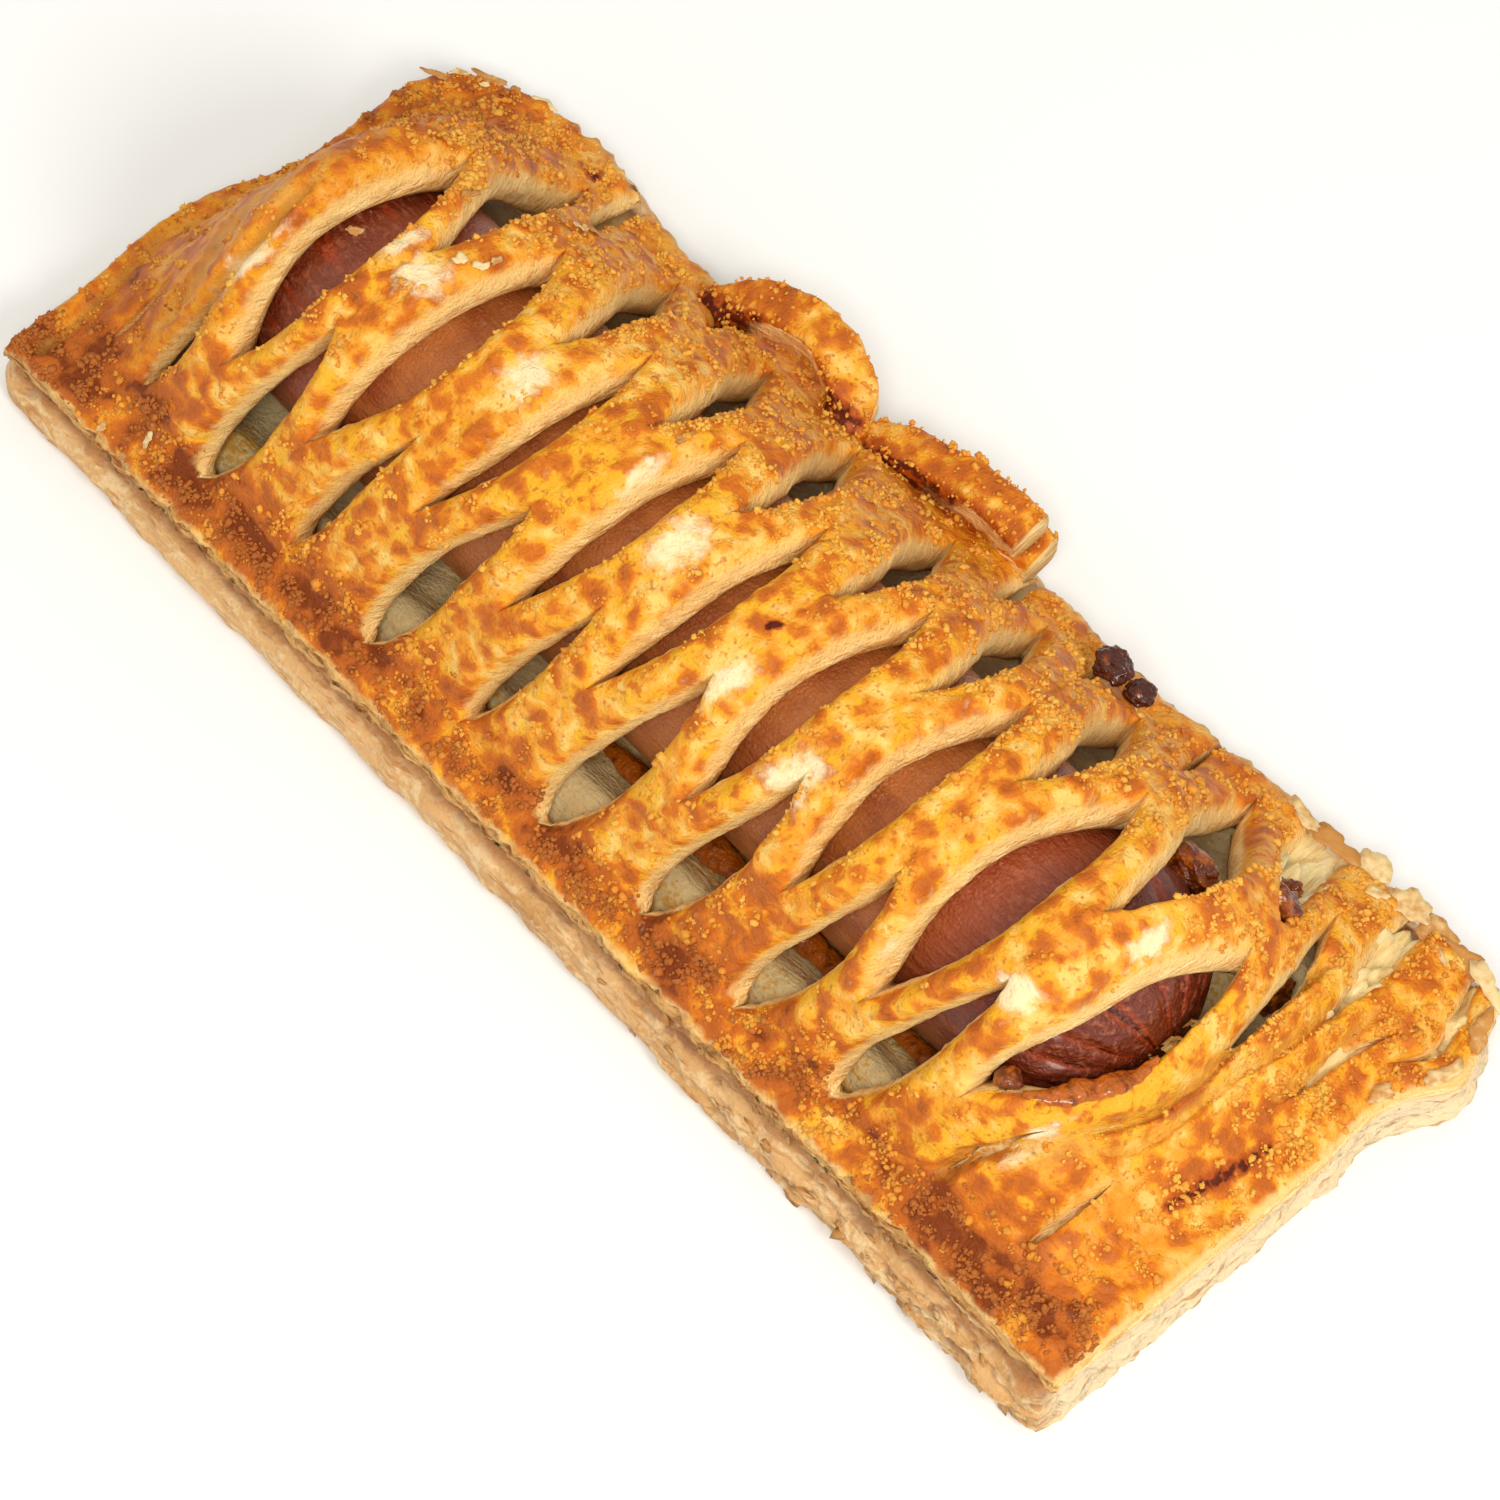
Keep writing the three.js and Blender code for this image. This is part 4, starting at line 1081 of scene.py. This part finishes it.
def bead_rings():
    """Rings round the bead, which swells and thins along the sausage's front."""
    angle = round_turn(BEAD["around"])
    rings = []
    for share in np.linspace(0, 1, BEAD["steps"]):
        x = mix(BEAD["from"] - 0.8, BEAD["to"] + 0.8, share)
        radius = BEAD["radius"] * math.sin(math.pi * mix(0.03, 0.97, share)) ** 0.5
        radius *= 1 + 0.2 * math.sin(0.55 * x)
        middle = np.array([x, BEAD["y"], BEAD["z"] + BEAD["climb"] * (x - BEAD["from"])])
        ring = np.column_stack([0 * angle, radius * np.cos(angle), 0.75 * radius * np.sin(angle)])
        rings.append(middle + ring * (1 + 0.15 * lumps(middle + ring, 1.5, 3))[:, None])
    return rings


def seam_rings():
    """Rings round a run of relish, along the lower edge of the opening over the sausage's tip."""
    at, openings = CUT_LINES[SEAM["line"]]
    u = np.linspace(SEAM["from"], SEAM["to"], SEAM["steps"])
    waver = 0.5 * sheet_lumps(u, 0 * u, 3, 2, 85.0)
    path = drape(line_at(at, u) + opening_at(openings, u) - 0.2 + waver, u, np.full_like(u, SEAM["depth"]))
    along = np.gradient(path, axis=0)
    side = np.column_stack([along[:, 1], -along[:, 0]]) / np.linalg.norm(along[:, :2], axis=1)[:, None]
    angle = round_turn(SEAM["around"])
    rings = []
    for share, middle, out in zip(np.linspace(0.03, 0.97, SEAM["steps"]), path, side):
        radius = SEAM["radius"] * math.sin(math.pi * share) ** 0.5
        wide = 1.5 * radius * np.cos(angle)
        ring = np.column_stack([wide * out[0], wide * out[1], 0.7 * radius * np.sin(angle)])
        rings.append(middle + ring * (1 + 0.6 * lumps(middle + ring, 2.6, 3, 80.0))[:, None])
    return rings


for name, (centre, radii, turn) in LUMPS_BY_SAUSAGE.items():
    relish_lump(name, centre, radii, turn, 0.4, name)
for name, (s, u, radius) in SPOTS_ON_RIM.items():
    centre = place_on_sheet(s, u, -CROWN - GAP - SPOT_SUNK * radius)
    relish_lump(name, centre, (radius, 0.9 * radius, 0.5 * radius), 0, 0.8, name)
add_piece("relish_bead_run", skin_over(bead_rings()), "tomato_relish", RELISH, "relish_bead")
for name, (s, u, depth, radius) in LUMPS_BY_BARS.items():
    centre = place_on_sheet(s, u, depth)
    relish_lump(name, centre, (radius, 0.9 * radius, 0.8 * radius), 0, 0.4)
add_piece("relish_round_tip", skin_over(seam_rings()), "tomato_relish", RELISH)

# STRETCHED FILMS. Where the knife did not quite part the sheet, a thin skin of dough is stretched
# across the slit. At the sausage's ends torn skins hang from the sheet's edge down to the sausage.
# A slit's film has its line of cuts, its row, where it starts and ends across the sheet, and its
# depth. A torn one has s, u and depth, each from one side or end to the other.

FILM_THICKNESS = 0.35
FILM_STEPS = (8, 44)
FILM_TUCK = 0.7
SLIT_FILMS = [
    (19, 0, 4, 33, 1.6), (20, 0, 4, 32, 1.8), (20, 3, 66, 88, 2.2),
    (21, 2, 46, 82, 1.8), (22, 3, 66, 88, 1.6), (0, 0, 6, 32, 2.2), (18, 3, 74, 90, 2),
]
TORN_FILMS = [
    ((60.2, 57), (33, 49), (1.6, 6.2)),
    ((-68.6, -65.6), (31, 38), (1.6, 4.8)),
    ((-66.6, -64), (45, 50), (1.4, 4.6)),
]
BACK_ROW = 3
FILM_FOLDS = {"slack": 3.2, "drawn": 0.35}


def stretched_dough():
    """Dough drawn out to a skin, pale where it is thick and tan where it has dried through."""
    finish = Finish("stretched_dough", Roughness=0.35, Coat_Weight=0.4, Coat_Roughness=0.2)
    finish.let_light_in(0.3, 1, (1.0, 0.6, 0.3))
    drawn = finish.grain(0.7, 3, (1, 5, 1), 0.5)
    finish.ground("#f8da9c", "#cc9248", finish.band(drawn + finish.marked("dry") * 0.3, 0.4, 0.8))
    finish.paint("Base Color", finish.colour)
    torn = finish.band(finish.grain(1.5, 2), 0.46, 0.5) * finish.marked("torn")
    finish.paint("Alpha", 1 - torn)
    finish.relief(drawn, 0.3)
    return finish.material


STRETCHED_DOUGH = stretched_dough()


def film(across, u, sag, folds):
    """A skin of dough from a grid of places, given by s, u and depth at -1 to 1 across it."""
    shape = bmesh.new()
    x_steps, y_steps = FILM_STEPS
    made = bmesh.ops.create_grid(shape, x_segments=x_steps, y_segments=y_steps, size=0.5)["verts"]
    grid = points_of(made)
    wide = 2 * grid[:, 0]
    u = mix(*u, grid[:, 1] + 0.5)
    s, depth = across(wide, u)
    depth = depth + sag * (1 - wide ** 2) + folds * sheet_lumps(s, 0.4 * u, 1.6, 2, 60.0)
    put(made, np.column_stack([s, u, depth]))
    everything = shape.faces[:] + shape.edges[:] + shape.verts[:]
    grown = bmesh.ops.extrude_face_region(shape, geom=everything)["geom"]
    lower = [item for item in grown if isinstance(item, bmesh.types.BMVert)]
    bmesh.ops.translate(shape, verts=lower, vec=(0, 0, FILM_THICKNESS))
    put(shape.verts, drape(*points_of(shape.verts).T))
    face_outwards(shape)
    return shape


def joined(shapes):
    """One mesh out of several, and which of them each of its points came from."""
    whole = bmesh.new()
    origin = []
    for index, shape in enumerate(shapes):
        origin += [index] * len(shape.verts)
        part = bpy.data.meshes.new("part")
        shape.to_mesh(part)
        shape.free()
        whole.from_mesh(part)
        bpy.data.meshes.remove(part)
    return whole, np.array(origin)


def slit_film(line, row, start, end, deep):
    """A film across the slit of one line of cuts, with its edges inside the bars."""
    at, openings = CUT_LINES[line]

    def across(wide, u):
        return line_at(at, u) + wide * (opening_at(openings, u) + FILM_TUCK), np.full_like(u, deep)

    return film(across, (start, end), 0.5, FILM_FOLDS["slack" if row == BACK_ROW else "drawn"])


def torn_film(s, u, depth):
    """A torn film that hangs from the sheet's edge down to the sausage."""

    def across(wide, _):
        return mix(*s, (wide + 1) / 2), mix(*depth, (wide + 1) / 2)

    return film(across, u, 0.3, FILM_FOLDS["drawn"])


slit_shape, slit_origin = joined([slit_film(*row) for row in SLIT_FILMS])
slit_films = add_piece("slit_films", slit_shape, "baked_crust", STRETCHED_DOUGH)
record(slit_films, "dry", np.array([0.4 if row == 0 else -0.2 for _, row, *_ in SLIT_FILMS])[slit_origin])
torn_shape, torn_origin = joined([torn_film(*row) for row in TORN_FILMS])
torn_films = add_piece("torn_films", torn_shape, "baked_crust", STRETCHED_DOUGH)
record(torn_films, "torn", np.ones(len(torn_origin)))
record(torn_films, "dry", np.full(len(torn_origin), 0.7))

# LOOSE FLAKES. Paper-thin pale leaves of pastry, broken off the cut layers. Some stuck to the glaze,
# some still hang from the back edge and the right end, and small scales cling to the flanks. A flake
# has its s and u, its length and width, and its turn and tilt in degrees.

FLAKES = [
    (-79, 83, 3, 1.5, 25, 0), (-79.2, 86, 2, 1.2, 60, 0), (-78, 89, 4.4, 2, 10, 4),
    (-73, 89.3, 5, 2.2, -6, 6), (-67, 89.3, 5.4, 2, 4, 4), (-76, 87, 1.6, 1.2, 10, 0),
    (-60.4, 40.2, 1.6, 1, 20, 15), (-56.4, 52, 1.8, 0.9, 70, 10), (-48.8, 61, 1.8, 1.1, 30, 5),
    (-47, 63.4, 2.2, 0.9, 60, 5), (-45.6, 67, 2.6, 1.1, 50, 10), (-50.8, 45.6, 1.7, 1.1, 20, 5),
    (-48.8, 46.6, 1.5, 1.1, 60, 5), (-48.3, 48.2, 1.3, 0.8, 100, 8), (-52.8, 39.6, 1.5, 0.9, 45, 5),
    (-20.4, 48.4, 2.3, 0.8, 75, 10), (-59.6, 4, 2.6, 0.9, 110, 12), (-64.4, 0.9, 1.6, 0.9, 90, 10),
    (56, 89, 5.5, 3, 8, 10), (60.6, 89.6, 6.5, 3.4, -10, 12), (65.6, 89.4, 6, 4, 14, 16),
    (70.2, 89.6, 5.5, 3.4, -8, 14), (74.4, 89.2, 6, 3.6, 10, 14), (78, 88.6, 5, 3.2, -30, 8),
    (79.6, 83, 5, 2.4, 84, 5), (79.6, 75, 5.5, 2, 95, 4), (51.8, 89, 4, 2, -6, 6),
    (63, 87.4, 3, 1.4, 30, 4), (72, 87, 2.6, 1.3, -30, 4), (79.5, 66, 4.5, 1.6, 88, 4),
]
FLAKE_AROUND = 30
FLAKE_LIFT = 0.75
FLAKE_THICKNESS = 0.13
SCALES_TRIED = 1800
SCALE_STRETCH = (1.4, 0.8, 0.07)
LEAST_HEIGHT = 0.05


def dry_flake():
    """A dry leaf of pastry, thin enough to let light through."""
    finish = Finish("dry_flake", Roughness=0.5)
    finish.let_light_in(0.2, 0.8, (1.0, 0.7, 0.45))
    toasted = finish.band(finish.grain(0.9, 3) + finish.marked("tone"), 0.55, 1.15)
    finish.ground("#f0d39c", "#c08440", toasted)
    finish.paint("Base Color", finish.colour)
    finish.relief(finish.grain(0.4, 3, (3, 3, 1)), 0.2)
    return finish.material


DRY_FLAKE = dry_flake()


def flake_rings(centre, long, wide, turn, tilt, rng):
    """A thin ragged leaf, turned in the sheet's plane and tilted up at its outer side, in degrees."""
    angle = round_turn(FLAKE_AROUND)
    sway = rng.uniform(0, 2 * math.pi, 3)
    reach = 1 + 0.22 * np.sin(2 * angle + sway[0]) + 0.16 * np.sin(3 * angle + sway[1])
    reach = reach + 0.1 * np.sin(7 * angle + sway[2]) + rng.uniform(-0.06, 0.06, len(angle))
    a, b = long / 2 * reach * np.cos(angle), wide / 2 * reach * np.sin(angle)
    cos, sin = math.cos(math.radians(turn)), math.sin(math.radians(turn))
    rings = []
    for share, level in ((0.5, 0), (1, 0), (1, 1), (0.5, 1)):
        s = centre[0] + share * (cos * a - sin * b)
        u = centre[1] + share * (sin * a + cos * b)
        height = FLAKE_LIFT + FLAKE_THICKNESS * level + 0.12 * share * np.cos(3 * angle)
        height = height + np.maximum(u - centre[1], 0) * math.sin(math.radians(tilt))
        height = height - RIM_DROP[0] * shoulder(from_rim(centre[1]), 1, RIM_DROP[1])
        rings.append(drape(s, u, -height))
    return rings


def small_ball():
    """Corners and faces of a ball with as few of them as a scale or a crumb needs."""
    ball = bmesh.new()
    bmesh.ops.create_icosphere(ball, subdivisions=1, radius=1)
    corners = points_of(ball.verts)
    faces = np.array([[vert.index for vert in face.verts] for face in ball.faces])
    ball.free()
    return corners, faces


BALL_CORNERS, BALL_FACES = small_ball()


def many_balls(corners):
    """One mesh of many misshapen balls, given the corners of each."""
    first = len(BALL_CORNERS) * np.arange(len(corners))[:, None, None]
    mesh = bpy.data.meshes.new("balls")
    mesh.from_pydata(corners.reshape(-1, 3).tolist(), [], (BALL_FACES + first).reshape(-1, 3).tolist())
    shape = bmesh.new()
    shape.from_mesh(mesh)
    bpy.data.meshes.remove(mesh)
    return shape


def record_tones(piece, tones):
    """Keeps one tone for all the corners of each ball."""
    record(piece, "tone", np.repeat(tones, len(BALL_CORNERS)))


def scale_corners(centres, normals, sizes, rng):
    """Corners of many small thin scales, each lying nearly flat on a surface with its normal."""
    count = len(centres)
    up = normals + rng.normal(0, 0.2, (count, 3))
    up /= np.linalg.norm(up, axis=1)[:, None]
    side = np.cross(up, rng.normal(size=(count, 3)))
    side /= np.linalg.norm(side, axis=1)[:, None]
    frames = np.stack([side, np.cross(up, side), up], axis=2)
    shape = BALL_CORNERS * rng.uniform(0.6, 1.3, (count, len(BALL_CORNERS), 1)) * sizes[:, None, None]
    corners = np.einsum("nij,nkj->nki", frames, shape * np.array(SCALE_STRETCH)) + centres[:, None]
    corners[..., 2] += np.maximum(LEAST_HEIGHT - corners[..., 2].min(axis=1), 0)[:, None]
    return corners


flake_rng = np.random.default_rng(11)
leaf_shapes = [skin_over(flake_rings((s, u), *size, flake_rng)) for s, u, *size in FLAKES]
flake_shape, flake_origin = joined(leaf_shapes)
flakes = add_piece("loose_flakes", flake_shape, "baked_crust", DRY_FLAKE)
record(flakes, "tone", flake_rng.uniform(0, 0.8, len(FLAKES))[flake_origin])

scale_rows = flake_rng.integers(2, FLANK_ROWS - 1, SCALES_TRIED)
scale_spots = flake_rng.integers(0, OUTLINE_POINTS, SCALES_TRIED)
scale_centres = np.array([base_rings[row][spot] for row, spot in zip(scale_rows, scale_spots)])
flaky = 0.5 * smooth(scale_centres[:, 0], 0, 60) * smooth(HALF_LENGTH - scale_centres[:, 0], 1, 3)
chosen = flake_rng.random(SCALES_TRIED) < flaky
scale_centres = scale_centres[chosen]
scale_normals = base_outline()[1][scale_spots[chosen]]
scale_normals = np.column_stack([scale_normals, np.full(len(scale_normals), 0.2)])
scale_sizes = np.clip(flake_rng.lognormal(-0.4, 0.4, len(scale_centres)), 0.3, 1.6)
scale_places = scale_centres + 0.03 * scale_normals
scale_shape = many_balls(scale_corners(scale_places, scale_normals, scale_sizes, flake_rng))
scales = add_piece("scales_on_flanks", scale_shape, "base_dough", DRY_FLAKE)
record_tones(scales, flake_rng.uniform(0.3, 0.9, len(scale_centres)))

# CRUMBS. Dry breadcrumbs, yellow with spice, were scattered over the glaze before baking. They lie
# thickest along the rims, at the far corner, and on the upper edges of the bars.

CRUMB_COUNTS = {"crumbs_on_bars": 7000, "crumbs_on_front_rim": 4200, "crumbs_at_back": 9000}
CRUMBS_ON_CURLS = 700
CRUMB_SIZE = {"log_mean": -1.5, "log_spread": 0.42, "least": 0.1, "most": 0.48}
TRIES_PER_CRUMB = 12
CLUSTER = 5
CLUSTER_SPREAD = 0.42


def crumb_share(s, u, to_left):
    """How thickly the crumbs lie at each place, from 0 to 1."""
    front = 0.6 * swell(u, 3, 7)
    back = 0.6 * smooth(u, 46, 58)
    far_corner = 0.9 * smooth(s, -42, -60) * smooth(u, 48, 60)
    far_end = 0.3 * smooth(s, -66, -75)
    near_end = 0.25 * smooth(s, 66, 74)
    edges = 0.9 * np.exp(-to_left / 0.8) * (1 - smooth(s, 20, 45))
    drift = 0.35 + 1.4 * sheet_lumps(s, u, 4, 3, 30.0)
    return (0.05 + front + back + far_corner + far_end + near_end + edges) * np.clip(drift, 0.06, 1)


def crumb_corners(centres, sizes, rng):
    """Corners of many small rough lumps, each turned its own way."""
    count = len(centres)
    shape = BALL_CORNERS * rng.uniform(0.5, 1.3, (count, len(BALL_CORNERS), 1))
    shape = shape * rng.uniform(0.55, 1.35, (count, 1, 3)) * sizes[:, None, None]
    spin = np.linalg.qr(rng.normal(size=(count, 3, 3)))[0]
    spin *= np.sign(np.linalg.det(spin))[:, None, None]
    return np.einsum("nij,nkj->nki", spin, shape) + centres[:, None]


def dry_crumb():
    """Breadcrumb stained yellow, with some orange and some toasted brown."""
    finish = Finish("dry_crumb", Roughness=0.7)
    finish.let_light_in(0.2, 0.5, (1.0, 0.2, 0.1))
    tone = finish.marked("tone")
    finish.ground("#f4b648", "#e4962c", finish.band(tone, 0.25, 0.65))
    finish.wash("#b4641e", finish.band(tone, 0.75, 1))
    finish.paint("Base Color", finish.colour)
    finish.relief(finish.grain(0.2, 2), 0.15)
    return finish.material


CRUMB = dry_crumb()


def crumb_places(name, tries, rng):
    """Places to try for crumbs: anywhere on the bars, near the front rim, or towards the back."""
    s = rng.uniform(-HALF_LENGTH + 0.3, HALF_LENGTH - 0.3, tries)
    if name == "crumbs_on_front_rim":
        return s, np.abs(rng.normal(2.5, 4, tries))
    if name == "crumbs_at_back":
        return s, rng.uniform(48, SHEET_WIDTH - 0.2, tries)
    return s, rng.uniform(6, 60, tries)


def crumb_piece(name, points, up, tones, rng):
    """One piece of crumbs on the given points, each with a little under half of it in the glaze."""
    sizes = rng.lognormal(CRUMB_SIZE["log_mean"], CRUMB_SIZE["log_spread"], len(points))
    sizes = np.clip(sizes, CRUMB_SIZE["least"], CRUMB_SIZE["most"])
    shape = many_balls(crumb_corners(points + up * 0.1 * sizes[:, None], sizes, rng))
    piece = add_piece(name, shape, "baked_crust", CRUMB)
    record_tones(piece, np.clip(tones + rng.random(len(points)) * 0.25, 0, 1))


def on_bar(s, u):
    """True where a place lies on a bar and not over a slit."""
    left, right, _, _ = bar_sides(u)
    return ((left <= s) & (right >= s)).any(axis=0)


def scatter_crumbs(name, count, rng):
    """Scatters crumbs over the glazed face."""
    s, u = crumb_places(name, TRIES_PER_CRUMB * count, rng)
    covered = on_bar(s, u)
    to_left, _, open_left, _ = beside_cuts(s, u)
    wanted = covered & (rng.random(len(s)) < crumb_share(s, u, np.where(open_left > 0.05, to_left, 99)))
    kept = np.repeat(np.flatnonzero(wanted)[:count // CLUSTER], CLUSTER)
    s = np.clip(s[kept] + rng.normal(0, CLUSTER_SPREAD, len(kept)), 0.2 - HALF_LENGTH, HALF_LENGTH - 0.2)
    u = np.clip(u[kept] + rng.normal(0, CLUSTER_SPREAD, len(kept)), 0.1, SHEET_WIDTH - 0.1)
    landed = on_bar(s, u)
    tones = np.repeat(rng.random(len(kept) // CLUSTER), CLUSTER)[landed]
    s, u = s[landed], u[landed]
    to_left, to_right, open_left, open_right = beside_cuts(s, u)
    depth = crust_depth(s, u, s - to_left, s + to_right, open_left, open_right)
    points = drape(s, u, depth)
    up = drape(s, u, depth - 1) - points
    up /= np.linalg.norm(up, axis=1)[:, None]
    crumb_piece(name, points, up, 0.6 * tones + 0.3 * bake_share(s, u), rng)


crumb_rng = np.random.default_rng(7)
for name, count in CRUMB_COUNTS.items():
    scatter_crumbs(name, count, crumb_rng)
curl_tops = np.vstack(curl_tops)
curl_tops = curl_tops[crumb_rng.integers(0, len(curl_tops), CRUMBS_ON_CURLS)]
curl_spots = curl_tops[:, :3] + crumb_rng.normal(0, 0.15, (CRUMBS_ON_CURLS, 3))
crumb_piece("crumbs_on_curls", curl_spots, curl_tops[:, 3:], np.full(CRUMBS_ON_CURLS, 0.4), crumb_rng)

# STUDIO. The slice stands on a plain pale floor. Two large soft lights stand on its near side, with a
# weak one on the far side and another overhead, and the camera looks down at it. A light has its
# name, azimuth, elevation, distance, width and power.

CAMERA = {"distance": 566.6, "azimuth": 48.1, "elevation": 61.2, "right": 2.33, "up": -4.29, "lens": 132}
SENSOR_WIDTH = 36
FLOOR_HALF_WIDTH = 3000
WORLD_LIGHT = 0.54
WARM_WHITE = (1, 0.96, 0.86)
LIGHTS = [
    ("key", 80, 46, 700, 220, 2.1),
    ("near", 42, 58, 800, 200, 1.9),
    ("fill", -50, 45, 800, 600, 0.7),
    ("top", 200, 70, 800, 500, 0.45),
]


def direction(azimuth, elevation):
    """Unit vector from the slice towards a place seen at that azimuth and elevation."""
    a, e = math.radians(azimuth), math.radians(elevation)
    return Vector((math.sin(a) * math.cos(e), -math.cos(a) * math.cos(e), math.sin(e)))


def aim_from(thing, place, towards):
    """Puts a light or the camera at its place, with its back along a direction."""
    thing.location = place * MM
    thing.rotation_euler = towards.to_track_quat("Z", "Y").to_euler()


def pale_floor():
    """Matt pale board."""
    finish = Finish("pale_floor", Roughness=0.7)
    finish.shader.inputs["Base Color"].default_value = seen("#f6f9ff")
    return finish.material


floor_shape = bmesh.new()
bmesh.ops.create_grid(floor_shape, x_segments=1, y_segments=1, size=FLOOR_HALF_WIDTH * MM)
floor_mesh = bpy.data.meshes.new("floor")
floor_shape.to_mesh(floor_mesh)
floor_shape.free()
floor_mesh.materials.append(pale_floor())
floor = bring_in("floor", floor_mesh)

for name, azimuth, elevation, far, wide, power in LIGHTS:
    lamp = bpy.data.lights.new(name, "AREA")
    lamp.shape = "DISK"
    lamp.size = wide * MM
    lamp.energy = power
    lamp.color = WARM_WHITE
    towards = direction(azimuth, elevation)
    aim_from(bring_in(name, lamp), towards * far, towards)

world = bpy.data.worlds.new("studio")
world.use_nodes = True
background = world.node_tree.nodes["Background"]
background.inputs["Color"].default_value = (*WARM_WHITE, 1)
background.inputs["Strength"].default_value = WORLD_LIGHT
bpy.context.scene.world = world
bpy.context.scene.view_settings.view_transform = "Standard"

back = direction(CAMERA["azimuth"], CAMERA["elevation"])
right = direction(CAMERA["azimuth"] + 90, 0)
up = back.cross(right)
lens = bpy.data.cameras.new("camera")
lens.lens = CAMERA["lens"]
lens.sensor_width = SENSOR_WIDTH
camera = bring_in("camera", lens)
place = back * CAMERA["distance"] + right * CAMERA["right"] + up * CAMERA["up"]
aim_from(camera, place + Vector(MIDDLE_OF_SHEET), back)
bpy.context.scene.camera = camera
